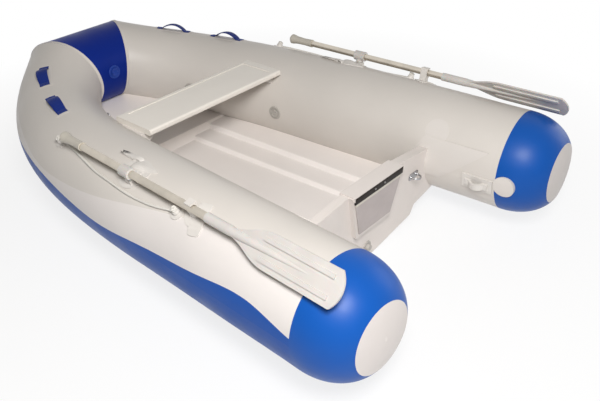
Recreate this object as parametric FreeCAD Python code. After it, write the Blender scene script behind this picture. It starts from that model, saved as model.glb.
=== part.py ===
"""Rigid inflatable tender with a moulded hull, two oars and a bench seat.

Millimetres. +X runs forward to the bow, +Y to port, +Z up. The origin is on the floor under the
middle of the boat: halfway along its length, on the centre line, level with the flat keel pad.
Everything on the port side is built once and mirrored to starboard.
"""
import FreeCAD
import Part
import math
import os

Vector = FreeCAD.Vector
ORIGIN = Vector(0, 0, 0)
FORWARD = Vector(1, 0, 0)
TO_PORT = Vector(0, 1, 0)
UP = Vector(0, 0, 1)

# Whole boat
overall_length = 2400.0
stern_overhang = 461.0
tube_height = 300.0
tube_spacing = 590.0
toe_in_angle = 2.94

# Buoyancy tubes. Stations, here and below, are shares of the run from the transom to the nose's axis
tube_radius = 210.0
bow_curve_share = 0.377
shoulder_share = 0.403
nose_reach_share = 0.180
nose_radius = 180.0
nose_half_share = 0.271
nose_lift = 100.0
nose_heading = 42.3
nose_pitch = 16.2

# Stern cones and their end caps
cone_length = 180.0
cap_radius = 124.0
cap_dome = 12.0
cone_shoulder = 95.0

# Coloured panels of the tube, by their seams: station and height angle
white_panel_seam = [(-0.188, 62), (-0.074, 62), (0.097, 58), (0.210, 46.8), (0.301, 37.4), (0.428, 24.3),
                    (0.550, 15.5), (0.648, 12.3), (0.781, 22.8), (0.887, 30), (0.966, 34)]
blue_panel_seam = [(-0.188, 22), (-0.051, 17.5), (0.080, 12.3), (0.227, 5.8), (0.318, 0.5), (0.408, -3.5),
                   (0.500, -1.5), (0.591, 2.5), (0.682, 5.2), (0.796, 5), (0.966, 0)]
keel_side_seam_angle = -104.0
white_lower_angle = -40.0

# Moulded hull. Shares of its own length, of the tube spacing and of the tube height
hull_end_share = 0.966
keel_half_width = 14.0
keel_sink = 7.0
keel_run_share = 0.60
keel_tip_drop = 165.0
chine_half_share = 0.534
chine_height_share = 0.16
chine_tip_drop = 160.0
chine_run_share = 0.35
side_lean = 24.0
side_height_share = 0.15
flange_angle = -112.0
flange_bite = 30.0

# Inner liner and bow deck, by shares of the tube's height, of its spacing and of the nose's height
sole_height_share = 0.50
liner_thickness = 8.0
sole_half_share = 0.212
lower_ledge_height_share = 0.557
lower_ledge_half_share = 0.403
upper_ledge_height_share = 0.63
liner_fall_share = 0.11
riser_lean = 12.0
step_radius = 5.0
bow_deck_start_share = 0.671
bow_deck_aft_share = 0.56
bow_deck_fore_share = 0.625
bow_riser_lean = 24.0
bow_riser_depth = 40.0

# Transom with its motor pad and cap, by rises above the tubes' axis and drops below the crest
transom_rake = 4.5
transom_crest_rise = 76.0
transom_wing_rise = 48.0
transom_thickness = 38.0
transom_crest_half_width = 160.0
motor_pad_thickness = 22.0
motor_pad_foot_half_width = 112.0
motor_pad_foot_drop = 204.0
motor_plate_thickness = 5.0
motor_plate_top_drop = 24.0
motor_plate_foot_drop = 186.0
motor_plate_top_half_width = 148.0
motor_plate_foot_half_width = 102.0
inner_pad_thickness = 3.0
inner_pad_top_drop = 22.0
inner_pad_foot_drop = 164.0
inner_pad_half_width = 132.0
cap_half_width = 155.0
cap_wall = 6.0
cap_lip = 12.0

# Transom fittings
tow_eye_inset = 298.0
tow_eye_drop = 38.0
eye_plate_length = 64.0
eye_plate_width = 30.0
eye_plate_thickness = 4.0
eye_bar_radius = 4.0
eye_span = 40.0
eye_reach = 34.0
drain_height = 62.0
drain_flange_radius = 24.0
drain_flange_thickness = 5.0
drain_knob_radius = 14.0
drain_knob_length = 14.0

# Bench seat
seat_share = 0.5355
seat_width = 216.0
seat_end_inset = 146.0
seat_thickness = 26.0
seat_rise = 159.0
seat_edge_radius = 9.0
seat_border = 22.0
seat_recess = 2.5
seat_holder_length = 130.0
seat_holder_reach = 70.0
seat_holder_edge = 12.0
seat_holder_drop = 60.0

# Oars: the pivot pin's place over the tube's skin, then reaches from the pin along the oar
oar_share = 0.3346
oar_angle = 60.1
oar_lift = 43.7
pin_tilt = 15.0
oar_shaft_radius = 14.0
oar_grip_reach = 408.0
grip_length = 128.0
grip_radius = 18.0
blade_reach = 990.0
blade_share = 0.566
socket_radius = 17.5
socket_length = 95.0
blade_half_width = 58.0
blade_thickness = 7.0
blade_shoulder = 190.0
blade_tilt = 40.0
blade_rib_height = 5.0
blade_rib_half_width = 7.0
blade_corner_radius = 24.0

# Oarlocks and oar clips
collar_radius = 22.0
collar_length = 52.0
collar_boss_radius = 17.0
collar_boss_drop = 26.0
bore_roof = 3.0
pin_radius = 5.0
pin_clearance = 0.08
pin_top_gap = 1.0
pivot_gap = 0.3
pin_shoulder_radius = 12.0
pin_shoulder_height = 3.0
rowlock_arm_width = 34.0
rowlock_arm_inboard = 62.0
rowlock_arm_outboard = 15.0
rowlock_pad_lead = 16.0
rowlock_pad_radius = 66.0
rowlock_pad_angle = 66.0
pad_thickness = 4.0
clip_share = 0.803
clip_length = 30.0
clip_wall = 6.0
clip_clearance = 1.5
clip_lip = 8.0
clip_stem_width = 26.0
clip_pad_radius = 40.0
clip_pad_angle = 58.0

# Lifelines: the route runs from share 0 at the aft anchor to share 1 at the forward one
rope_radius = 5.0
rope_lay_gap = 1.2
anchor_pad_radius = 28.0
anchor_pad_gap = 8.0
anchor_lead = 53.5
anchor_boss_radius = 15.0
anchor_boss_height = 20.0
rope_route = [(1.0, 53.5), (0.937, 55.5), (0.860, 53.5), (0.751, 51.2), (0.625, 47.4), (0.496, 46.4),
              (0.370, 44.6), (0.247, 45.2), (0.142, 47.2), (0.066, 50.6), (0.0, 53.4)]

# Webbing handles, carry handles, valves and patches
bedding = 12.0
grab_handle_shares = (0.737, 0.890)
grab_handle_angle = 79.0
grab_handle_length = 176.0
grab_handle_rise = 34.0
webbing_width = 40.0
webbing_thickness = 4.0
grab_foot_length = 26.0
carry_handle_lead = 73.0
carry_handle_angle = 189.5
carry_plate_length = 130.0
carry_plate_width = 64.0
carry_plate_thickness = 5.0
carry_grip_length = 96.0
carry_grip_rise = 28.0
carry_grip_width = 26.0
carry_grip_thickness = 9.0
carry_foot_length = 16.0
valve_shares = (0.483, 0.791)
valve_angle = 183.0
valve_flange_radius = 32.0
valve_flange_height = 4.0
valve_flange_lip = 4.0
valve_cap_radius = 20.0
valve_cap_height = 12.0
nose_valve_angle = 175.0
seam_disc_overlap = 37.5
seam_disc_radius = 44.0
seam_disc_angle = 184.0
seam_disc_thickness = 4.0
gusset_thickness = 3.0
gusset_reach_aft = 222.0
gusset_reach_forward = 120.0
gusset_low_reach = 20.0
gusset_top_angle = 152.0
gusset_low_angle = 200.0

# Bow fittings
deck_eye_share = 0.878
deck_eye_offset = 100.0
deck_eye_bar_radius = 3.0
deck_eye_span = 26.0
deck_eye_reach = 22.0
deck_eye_plate_thickness = 3.0
stem_eye_share = 0.841
stem_eye_span = 46.0
stem_eye_reach = 38.0
stem_eye_plate_width = 42.0
stem_eye_sink = 2.0

# Values worked out from the sizes above
bow_end = overall_length / 2
stern_end = -overall_length / 2
transom_x = stern_end + stern_overhang
nose_x = bow_end - nose_radius
nose_height = tube_height + nose_lift
nose_half_width = tube_spacing * nose_half_share
run = nose_x - transom_x
toe_in = math.radians(toe_in_angle)
rake = math.radians(transom_rake)
FAR = 2 * overall_length
sole_height = tube_height * sole_height_share
liner_foot = sole_height - liner_thickness
liner_fall = tube_height * liner_fall_share
deck_aft_height = tube_height * bow_deck_aft_share
deck_fore_height = nose_height * bow_deck_fore_share
deck_start_x = transom_x + bow_deck_start_share * run
crest_height = tube_height + transom_crest_rise
blade_length = blade_reach * blade_share
clip_reach = (blade_reach - blade_length) * clip_share


def direction(heading, pitch):
    """Unit vector at a heading from forward towards port, raised by a pitch, both in degrees."""
    turn = math.radians(heading)
    lift = math.radians(pitch)
    return Vector(math.cos(turn) * math.cos(lift), math.sin(turn) * math.cos(lift), math.sin(lift))


tube_foot = Vector(transom_x, tube_spacing, tube_height)
tube_forward = direction(-toe_in_angle, 0)
curve_start = tube_foot + tube_forward * (bow_curve_share * run / math.cos(toe_in))
curve_end = Vector(nose_x, nose_half_width, nose_height)
curve_end_tangent = direction(nose_heading - 90, nose_pitch)
curve_poles = [curve_start, curve_start + tube_forward * (shoulder_share * run),
               curve_end - curve_end_tangent * (nose_reach_share * run), curve_end]


def tube_frame(place):
    """Centre, forward direction and radius of the port tube.

    Below 0 the place counts tube radii back along the straight tube, from 0 to 1 it runs round
    the bow curve to the nose seam, and past 1 it counts nose radii straight on.
    """
    if place <= 0:
        return curve_start + tube_forward * (place * tube_radius), tube_forward, tube_radius
    if place >= 1:
        centre = curve_end + curve_end_tangent * ((place - 1) * nose_radius)
        return centre, curve_end_tangent, nose_radius
    rest = 1 - place
    weights = [rest ** 3, 3 * rest ** 2 * place, 3 * rest * place ** 2, place ** 3]
    centre = Vector(0, 0, 0)
    for weight, pole in zip(weights, curve_poles):
        centre += pole * weight
    slopes = [rest ** 2, 2 * rest * place, place ** 2]
    tangent = Vector(0, 0, 0)
    for slope, start, end in zip(slopes, curve_poles, curve_poles[1:]):
        tangent += (end - start) * slope
    tangent.normalize()
    return centre, tangent, tube_radius + (nose_radius - tube_radius) * place


def place_at(station):
    """Place along the port tube whose centre lies at a station."""
    target = transom_x + station * run
    low = -4 * overall_length / tube_radius
    high = 1 + overall_length / nose_radius
    for _ in range(60):
        middle = (low + high) / 2
        if tube_frame(middle)[0].x < target:
            low = middle
        else:
            high = middle
    return (low + high) / 2


def section_axes(tangent):
    """Outboard and upward directions of the tube's cross section."""
    outboard = UP.cross(tangent)
    outboard.normalize()
    return outboard, tangent.cross(outboard)


def radial(tangent, angle):
    """Direction out of the tube's axis, at an angle up from outboard in degrees."""
    outboard, upward = section_axes(tangent)
    turn = math.radians(angle)
    return outboard * math.cos(turn) + upward * math.sin(turn)


def tube_point(station, angle, height=0.0):
    """Point on the port tube's skin, or a height above it."""
    centre, tangent, radius = tube_frame(place_at(station))
    return centre + radial(tangent, angle) * (radius + height)


def skin_placement(station, angle):
    """Placement on the tube's skin: Z out of the skin, X forward along the tube."""
    centre, tangent, radius = tube_frame(place_at(station))
    outward = radial(tangent, angle)
    return FreeCAD.Placement(centre + outward * radius,
                             FreeCAD.Rotation(tangent, outward.cross(tangent), outward, "ZXY"))


def mirrored(shape):
    """The starboard twin of a port shape."""
    return shape.mirror(ORIGIN, TO_PORT)


def both_sides(shape):
    """A port shape and its starboard twin, as one compound."""
    return Part.makeCompound([shape, mirrored(shape)])


def largest(shape):
    """The largest solid of a shape."""
    return max(shape.Solids, key=lambda solid: solid.Volume)


def half_space(point, normal):
    """A block that fills everything on the side of a plane that its normal points to."""
    block = Part.makeBox(FAR, FAR, FAR, Vector(-FAR / 2, -FAR / 2, 0))
    block.Placement = FreeCAD.Placement(point, FreeCAD.Rotation(UP, normal))
    return block


def prism(points, along):
    """A polygon carried along a vector."""
    return Part.Face(Part.makePolygon(points + points[:1])).extrude(along)


def across(points, half_width):
    """A polygon of (x, z) points carried across the boat."""
    corners = [Vector(x, -half_width, z) for x, z in points]
    return prism(corners, Vector(0, 2 * half_width, 0))


def lengthwise(points, start, end):
    """A polygon of (y, z) points carried along the boat."""
    corners = [Vector(start, y, z) for y, z in points]
    return prism(corners, Vector(end - start, 0, 0))


def mirror_outline(points):
    """A closed outline from the (y, z) points of its port half."""
    return points + [(-y, z) for y, z in reversed(points)]


def turned(profile_points, placement=FreeCAD.Placement()):
    """A solid of revolution about Z from (radius, height) points."""
    corners = [Vector(radius, 0, height) for radius, height in profile_points]
    solid = Part.Face(Part.makePolygon(corners + corners[:1])).revolve(ORIGIN, UP, 360)
    solid.Placement = placement
    return solid


# Buoyancy tubes

def tube_side():
    """The whole port tube, from the cone seam to past the nose seam."""
    seam_place = place_at(cone_seam_station())
    straight = [seam_place * share for share in (1.0, 0.75, 0.5, 0.25, 0.0)]
    curved = [step / 6 for step in range(1, 7)]
    rings = []
    for place in straight + curved + [1 + nose_half_width / nose_radius / 2]:
        centre, tangent, radius = tube_frame(place)
        outboard, upward = section_axes(tangent)
        ring = Part.Wire([Part.makeCircle(radius)])
        ring.Placement = FreeCAD.Placement(centre, FreeCAD.Rotation(outboard, upward, tangent, "ZXY"))
        rings.append(ring)
    return Part.makeLoft(rings, True, False).cut(half_space(curve_end, mitre_normal()))


def mitre_normal():
    """Normal of the plane where the port tube meets the nose, pointing into the nose."""
    normal = curve_end_tangent - TO_PORT
    normal.normalize()
    return normal


def tube_nose():
    """The straight athwartships nose panel between its two mitred seams."""
    half = nose_half_width + nose_radius
    nose = Part.makeCylinder(nose_radius, 2 * half, Vector(nose_x, -half, nose_height), TO_PORT)
    beyond = half_space(curve_end, mitre_normal() * -1)
    return nose.cut(beyond).cut(mirrored(beyond))


def seam_angle(seam, station):
    """Height angle of a panel seam at a station, straight between its listed points."""
    for (start, low), (end, high) in zip(seam, seam[1:]):
        if station <= end:
            share = max(0.0, (station - start) / (end - start))
            return low + (high - low) * share
    return seam[-1][1]


def wedge(lower_angle, upper_seam, apex_angle, apex_depth):
    """A wedge that cuts the tube's skin at a fixed angle and along a panel seam.

    Its apex runs along inside the tube, a share of the radius off the axis, towards apex_angle.
    """
    wide = 1.8
    stations = [-stern_overhang / run] + [point[0] for point in upper_seam[1:-1]]
    places = [place_at(station) for station in stations if station < 1 - nose_radius / run]
    places += [(1 + places[-1]) / 2, 1, 1 + nose_half_width / nose_radius]
    sections = []
    for place in places:
        centre, tangent, radius = tube_frame(place)
        apex = centre + radial(tangent, apex_angle) * (radius * apex_depth)
        upper = seam_angle(upper_seam, (centre.x - transom_x) / run)
        corners = [apex]
        for share in (0, 0.5, 1):
            angle = lower_angle + (upper - lower_angle) * share
            corners.append(apex + (centre + radial(tangent, angle) * radius - apex) * wide)
        sections.append(Part.makePolygon(corners + corners[:1]))
    return Part.makeLoft(sections, True, False)


def dome_radius():
    """Radius of the sphere that the end cap's dome is part of."""
    return (cap_radius ** 2 + cap_dome ** 2) / (2 * cap_dome)


def cone_seam_station():
    """Station of the cone seam that puts the aftmost point of the cap at the stern's end."""
    behind = (cone_length + cap_dome - dome_radius()) * math.cos(toe_in) + dome_radius()
    return (behind - stern_overhang) / run


def stern_frame():
    """Placement at the cone seam: Z aft along the port tube's axis."""
    centre = tube_frame(place_at(cone_seam_station()))[0]
    return FreeCAD.Placement(centre, FreeCAD.Rotation(UP, tube_forward * -1))


def stern_cone():
    """The domed cone that closes the tube down to its end cap."""
    curve = Part.BezierCurve()
    curve.setPoles([Vector(tube_radius, 0, 0), Vector(tube_radius, 0, cone_shoulder),
                    Vector((tube_radius + cap_radius) / 2, 0, cone_length * 0.86),
                    Vector(cap_radius, 0, cone_length)])
    foot = Vector(0, 0, cone_length)
    edges = [curve.toShape(), Part.makeLine(Vector(cap_radius, 0, cone_length), foot),
             Part.makeLine(foot, ORIGIN), Part.makeLine(ORIGIN, Vector(tube_radius, 0, 0))]
    cone = Part.Face(Part.Wire(edges)).revolve(ORIGIN, UP, 360)
    cone.Placement = stern_frame()
    return cone


def end_cap():
    """The slightly domed disc on the aft end of a cone."""
    rim = Vector(cap_radius, 0, cone_length)
    apex = Vector(0, 0, cone_length + cap_dome)
    half_angle = math.atan2(cap_dome, cap_radius)
    middle = Vector(dome_radius() * math.sin(half_angle), 0,
                    apex.z - dome_radius() * (1 - math.cos(half_angle)))
    foot = Vector(0, 0, cone_length)
    edges = [Part.Arc(rim, middle, apex).toShape(), Part.makeLine(apex, foot), Part.makeLine(foot, rim)]
    cap = Part.Face(Part.Wire(edges)).revolve(ORIGIN, UP, 360)
    cap.Placement = stern_frame()
    return cap


# Moulded hull

def hull_section(share):
    """Closed outline of the moulded hull at a share of its length from the transom."""
    station = hull_end_share * share
    bow_share = max(0.0, (share - keel_run_share) / (1 - keel_run_share)) ** 2.2
    narrowing = max(0.0, (share - chine_run_share) / (1 - chine_run_share)) ** 2.4
    keel_z = (nose_height - keel_tip_drop + keel_sink) * bow_share - keel_sink
    low_chine = tube_height * chine_height_share
    chine_y = 2 * keel_half_width + (tube_spacing * chine_half_share - 2 * keel_half_width) * (1 - narrowing)
    chine_z = low_chine + (nose_height - chine_tip_drop - low_chine) * share ** 3
    side_y = chine_y + side_lean * (1 - narrowing / 2)
    side_z = chine_z + tube_height * side_height_share * (1 - narrowing)
    centre, tangent, radius = tube_frame(place_at(station))
    turn = math.radians(flange_angle)
    deep = radius - flange_bite
    flange_y = centre.y + deep * math.cos(turn) / tangent.x
    points = [(keel_half_width, keel_z), (chine_y, chine_z), (side_y, side_z),
              (flange_y, centre.z + deep * math.sin(turn)), (centre.y - radius / 2 / tangent.x, centre.z)]
    corners = [Vector(transom_x + station * run, y, z) for y, z in mirror_outline(points)]
    return Part.makePolygon(corners + corners[:1])


def hull_blank(tubes):
    """Everything that the moulding and its liner fill, between the tubes and ahead of the transom."""
    steps = 16
    blank = Part.makeLoft([hull_section(step / steps) for step in range(steps + 1)], True, False)
    for tube in tubes:
        blank = blank.cut(tube)
    blank = blank.cut(half_space(transom_face(transom_thickness), rake_normal() * -1))
    return blank.cut(half_space(ORIGIN, UP * -1))


def rake_normal():
    """Forward normal of the raked transom."""
    return Vector(math.cos(rake), 0, math.sin(rake))


def transom_face(depth):
    """Point on the plane that lies a depth ahead of the transom's aft face."""
    return Vector(transom_x + motor_pad_thickness, 0, crest_height) + rake_normal() * depth


def transom_block(outline):
    """An outline of (y, z) points of the port half, carried well past the transom both ways."""
    return lengthwise(mirror_outline(outline), transom_x - tube_radius, transom_x + tube_radius)


def raked_slab(aft_depth, fore_depth, blank):
    """The part of a blank between two planes parallel to the transom's aft face."""
    slab = blank.cut(half_space(transom_face(fore_depth), rake_normal()))
    return slab.cut(half_space(transom_face(aft_depth), rake_normal() * -1))


def deck_joint():
    """(x, z) points of the joint between hull and bow deck, from its riser to the nose."""
    return [(deck_start_x, liner_foot - liner_fall),
            (deck_start_x + bow_riser_depth, deck_aft_height - liner_thickness),
            (nose_x, deck_fore_height - liner_thickness)]


def deck_top():
    """(x, z) points of the bow deck's upper face, from its riser's foot to the nose."""
    return [(deck_start_x, liner_foot - liner_fall), (deck_start_x + bow_riser_lean, deck_aft_height),
            (nose_x, deck_fore_height)]


def liner_steps(offset):
    """(y, z) points of the port half of the liner's steps, moved out and down by an offset."""
    sole_y = tube_spacing * sole_half_share + offset
    ledge_y = tube_spacing * lower_ledge_half_share + offset
    lower_z = tube_height * lower_ledge_height_share - offset
    upper_z = tube_height * upper_ledge_height_share - offset
    return [(sole_y, sole_height - offset), (sole_y + riser_lean, lower_z), (ledge_y, lower_z),
            (ledge_y + riser_lean, upper_z), (tube_spacing, upper_z)]


def liner_prism(points, end_x):
    """An outline across the boat carried forward from the transom, falling as the liner does."""
    fall = -liner_fall * (end_x - transom_x) / (deck_start_x - transom_x)
    corners = [Vector(transom_x, y, z) for y, z in mirror_outline(points)]
    return prism(corners, Vector(end_x - transom_x, 0, fall))


def hull(blank):
    """The outer moulding, closed on top at its joints with the liner and the bow deck."""
    ramp_end = deck_start_x + bow_riser_depth
    well = liner_prism(liner_steps(liner_thickness) + [(tube_spacing, FAR)], ramp_end)
    well = well.cut(across(deck_joint() + [(nose_x, -FAR), (deck_start_x, -FAR)], tube_spacing))
    above_deck = across(deck_joint()[1:] + [(nose_x, FAR), (ramp_end, FAR)], tube_spacing)
    return blank.cut(well).cut(above_deck)


def deck_liner(blank):
    """The stepped cockpit liner: flat sole, low ledge and a higher ledge against the tubes."""
    steps = liner_steps(0)
    end_x = deck_start_x + bow_riser_lean
    under = liner_prism(liner_steps(liner_thickness) + [(tube_spacing, FAR)], end_x)
    tray = under.cut(liner_prism(steps + [(tube_spacing, 2 * FAR)], end_x))
    long_edges = []
    for edge in tray.Edges:
        middle = edge.CenterOfMass
        height = middle.z + liner_fall * (middle.x - transom_x) / (deck_start_x - transom_x)
        for y, z in steps[:4]:
            if abs(abs(middle.y) - y) < 1 and abs(height - z) < 1 and edge.Length > run / 2:
                long_edges.append(edge)
    below_deck = across(deck_top() + [(nose_x, -FAR), (deck_start_x, -FAR)], tube_spacing)
    return blank.common(tray.makeFillet(step_radius, long_edges)).cut(below_deck)


def bow_deck(blank, hull_solid):
    """The raised deck that slopes up from the cockpit to the nose."""
    outline = deck_top() + list(reversed(deck_joint()))[:2]
    return largest(blank.common(across(outline, tube_spacing)).cut(hull_solid))


# Transom

def transom(tubes):
    """The raked transom board, with wings down to the tubes and a clamp pad on its inner side."""
    lower = [(vertex.Point.y, vertex.Point.z) for vertex in hull_section(0).Vertexes[:4]]
    wing = tube_spacing - tube_radius + flange_bite
    outline = lower + [(tube_spacing - tube_radius / 2, tube_height), (wing, tube_height + transom_wing_rise),
                       (transom_crest_half_width, crest_height)]
    board = raked_slab(0, transom_thickness, transom_block(outline))
    for tube in tubes:
        board = board.cut(tube)
    pad = [(inner_pad_half_width, crest_height - inner_pad_foot_drop),
           (inner_pad_half_width, crest_height - inner_pad_top_drop)]
    inner = raked_slab(transom_thickness, transom_thickness + inner_pad_thickness, transom_block(pad))
    return board.cut(half_space(ORIGIN, UP * -1)).fuse(inner)


def motor_pad():
    """The raised pad on the aft face that carries the outboard motor's bracket."""
    outline = [(motor_pad_foot_half_width, crest_height - motor_pad_foot_drop),
               (transom_crest_half_width, crest_height)]
    return raked_slab(-motor_pad_thickness, 0, transom_block(outline))


def motor_plate():
    """The grey clamp plate let onto the motor pad."""
    outline = [(motor_plate_foot_half_width, crest_height - motor_plate_foot_drop),
               (motor_plate_top_half_width, crest_height - motor_plate_top_drop)]
    aft = -motor_pad_thickness - motor_plate_thickness
    return raked_slab(aft, -motor_pad_thickness, transom_block(outline))


def transom_cap(board, pad):
    """The black channel pushed down over the transom's crest."""
    outline = [(cap_half_width, crest_height - cap_lip), (cap_half_width, crest_height + cap_wall)]
    block = raked_slab(-motor_pad_thickness - cap_wall, transom_thickness + cap_wall, transom_block(outline))
    return block.cut(board).cut(pad)


def eye(span, reach, bar_radius, plate_length, plate_width, plate_thickness):
    """A U-shaped eye on its base plate: the plate lies on XY and the bar rises along Z."""
    plate = Part.makeBox(plate_length, plate_width, plate_thickness,
                         Vector(-plate_length / 2, -plate_width / 2, 0))
    corners = [edge for edge in plate.Edges if abs(edge.tangentAt(edge.FirstParameter).z) > 0.9]
    plate = plate.makeFillet(plate_width * 0.3, corners)
    half = span / 2
    shoulder = reach - half
    foot = plate_thickness / 2
    bend = Part.Arc(Vector(-half, 0, shoulder), Vector(0, 0, reach), Vector(half, 0, shoulder)).toShape()
    path = Part.Wire([Part.makeLine(Vector(-half, 0, foot), Vector(-half, 0, shoulder)), bend,
                      Part.makeLine(Vector(half, 0, shoulder), Vector(half, 0, foot))])
    section = Part.Wire([Part.makeCircle(bar_radius, Vector(-half, 0, foot), UP)])
    bar = path.makePipeShell([section], True, True)
    return plate.fuse(bar)


def tow_eye():
    """The port tow eye on the transom's aft face."""
    shape = eye(eye_span, eye_reach, eye_bar_radius, eye_plate_length, eye_plate_width, eye_plate_thickness)
    drop = (transom_crest_rise + tow_eye_drop) / math.cos(rake)
    slope = Vector(math.sin(rake), 0, -math.cos(rake))
    foot = transom_face(0) + slope * drop + TO_PORT * (tube_spacing - tow_eye_inset)
    shape.Placement = FreeCAD.Placement(foot, FreeCAD.Rotation(TO_PORT, slope, rake_normal() * -1, "ZXY"))
    return shape


def drain_plug():
    """The screwed drain plug low on the transom."""
    slope = Vector(math.sin(rake), 0, -math.cos(rake))
    foot = transom_face(0) + slope * ((crest_height - drain_height) / math.cos(rake))
    top = drain_flange_thickness + drain_knob_length
    profile = [(0, 0), (drain_flange_radius, 0), (drain_flange_radius, drain_flange_thickness),
               (drain_knob_radius, drain_flange_thickness), (drain_knob_radius * 0.86, top), (0, top)]
    return turned(profile, FreeCAD.Placement(foot, FreeCAD.Rotation(UP, rake_normal() * -1)))


# Bench seat

def seat_half_length():
    """Half the length of the bench, which ends a set distance inside the tubes' axes."""
    return tube_frame(place_at(seat_share))[0].y - seat_end_inset


def seat():
    """The bench board, with rounded edges and a shallow recessed panel on top."""
    half = seat_half_length()
    corner = Vector(transom_x + seat_share * run - seat_width / 2, -half, tube_height + seat_rise)
    board = Part.makeBox(seat_width, 2 * half, seat_thickness, corner)
    edges = [edge for edge in board.Edges if abs(edge.tangentAt(edge.FirstParameter).y) > 0.9]
    board = board.makeFillet(seat_edge_radius, edges)
    inset = Vector(seat_border, seat_border * 2, seat_thickness - seat_recess)
    panel = Part.makeBox(seat_width - 2 * seat_border, 2 * half - 4 * seat_border, seat_thickness,
                         corner + inset)
    return board.cut(panel)


def seat_holder(tube):
    """The wedge glued to the port tube that the end of the seat rests on."""
    bottom = tube_height + seat_rise
    half = seat_half_length()
    inner = half - seat_holder_reach
    start = transom_x + seat_share * run - seat_holder_length / 2
    outline = [(inner, bottom), (inner, bottom - seat_holder_edge), (half, bottom - seat_holder_drop),
               (tube_spacing, bottom - seat_holder_drop), (tube_spacing, bottom)]
    return lengthwise(outline, start, start + seat_holder_length).cut(tube)


# Oars

def oar_placement():
    """Placement at the port pivot: X forward along the oar, Z up the pivot pin, Y outboard."""
    turn = FreeCAD.Rotation(UP, -toe_in_angle).multiply(FreeCAD.Rotation(FORWARD, -pin_tilt))
    return FreeCAD.Placement(tube_point(oar_share, oar_angle, oar_lift), turn)


def rod(start, end, radius):
    """A round bar along the oar between two distances from the pivot."""
    return Part.makeCylinder(radius, end - start, Vector(start, 0, 0), FORWARD)


def oar_shaft():
    """The aluminium tube between grip and blade socket, solid at its ends."""
    return rod(blade_length - blade_reach, oar_grip_reach - grip_length, oar_shaft_radius)


def oar_grip():
    """The moulded hand grip, waisted, with a rounded flared end."""
    start = oar_grip_reach - grip_length
    flare = grip_radius * 1.25
    profile = [(0, 0), (grip_radius, 0), (grip_radius * 0.9, grip_length * 0.35),
               (grip_radius, grip_length * 0.7), (flare, grip_length - flare * 0.6),
               (flare, grip_length - flare * 0.3), (flare * 0.7, grip_length), (0, grip_length)]
    return turned(profile, FreeCAD.Placement(Vector(start, 0, 0), FreeCAD.Rotation(UP, FORWARD)))


def oar_blade():
    """The ribbed plastic blade with the socket that takes the shaft."""
    root = -blade_reach + blade_length
    tip = -blade_reach
    neck = root - socket_length
    full = neck - blade_shoulder
    half = blade_half_width
    edge = socket_radius * 0.8
    port_side = Part.BezierCurve()
    port_side.setPoles([Vector(neck, edge, 0), Vector(neck - blade_shoulder * 0.45, edge, 0),
                        Vector(full + blade_shoulder * 0.45, half, 0), Vector(full, half, 0)])
    far_side = Part.BezierCurve()
    far_side.setPoles([Vector(full, -half, 0), Vector(full + blade_shoulder * 0.45, -half, 0),
                       Vector(neck - blade_shoulder * 0.45, -edge, 0), Vector(neck, -edge, 0)])
    corner = blade_corner_radius
    swell = corner * 0.35
    tip_arc = Part.Arc(Vector(tip + corner, half * 1.02, 0), Vector(tip, 0, 0),
                       Vector(tip + corner, -half * 1.02, 0)).toShape()
    corner_swell = Vector(tip + corner + swell, half * 1.02, 0)
    outline = [port_side.toShape(), Part.makeLine(Vector(full, half, 0), corner_swell),
               Part.makeLine(corner_swell, Vector(tip + corner, half * 1.02, 0)), tip_arc,
               Part.makeLine(Vector(tip + corner, -half * 1.02, 0), Vector(full, -half, 0)),
               far_side.toShape(), Part.makeLine(Vector(neck, -edge, 0), Vector(neck, edge, 0))]
    plate = Part.Face(Part.Wire(outline)).extrude(Vector(0, 0, blade_thickness))
    plate.translate(Vector(0, 0, -blade_thickness / 2))
    spine_end = tip + blade_length * 0.2
    spine = Part.makeCone(socket_radius, blade_thickness / 2, neck - spine_end, Vector(neck, 0, 0),
                          FORWARD * -1)
    rib_start = full + blade_shoulder * 0.2
    rib_length = rib_start - tip - corner * 1.6
    blade = plate.fuse(spine)
    for offset in (-half * 0.55, half * 0.55):
        height = blade_thickness + 2 * blade_rib_height
        rib = Part.makeBox(rib_length, 2 * blade_rib_half_width, height,
                           Vector(rib_start - rib_length, offset - blade_rib_half_width, -height / 2))
        blade = blade.fuse(rib)
    socket = rod(neck - socket_radius, root, socket_radius)
    blade = blade.fuse(socket).removeSplitter()
    blade.rotate(ORIGIN, FORWARD, -blade_tilt)
    return blade.cut(rod(root - socket_length * 0.8, root + socket_radius, oar_shaft_radius))


def oar_collar():
    """The moulded sleeve on the shaft, with the boss that turns on the pivot pin."""
    sleeve = rod(-collar_length / 2, collar_length / 2, collar_radius)
    boss = Part.makeCylinder(collar_boss_radius, collar_boss_drop, Vector(0, 0, -collar_boss_drop), UP)
    collar = sleeve.fuse(boss).cut(rod(-collar_length, collar_length, oar_shaft_radius))
    depth = collar_boss_drop - oar_shaft_radius - bore_roof
    bore = Part.makeCylinder(pin_radius + pin_clearance, depth, Vector(0, 0, -collar_boss_drop), UP)
    return collar.cut(bore)


def disc_on_tube(station, angle, radius, thickness, tube):
    """A round flexible pad that lies on the tube's skin."""
    centre, tangent, tube_r = tube_frame(place_at(station))
    outward = radial(tangent, angle)
    post = Part.makeCylinder(radius, tube_r, centre + outward * (tube_r * 0.5), outward)
    length = 4 * radius
    skin = Part.makeCylinder(tube_r + thickness, length, centre - tangent * (length / 2), tangent)
    return post.common(skin).cut(tube)


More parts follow.
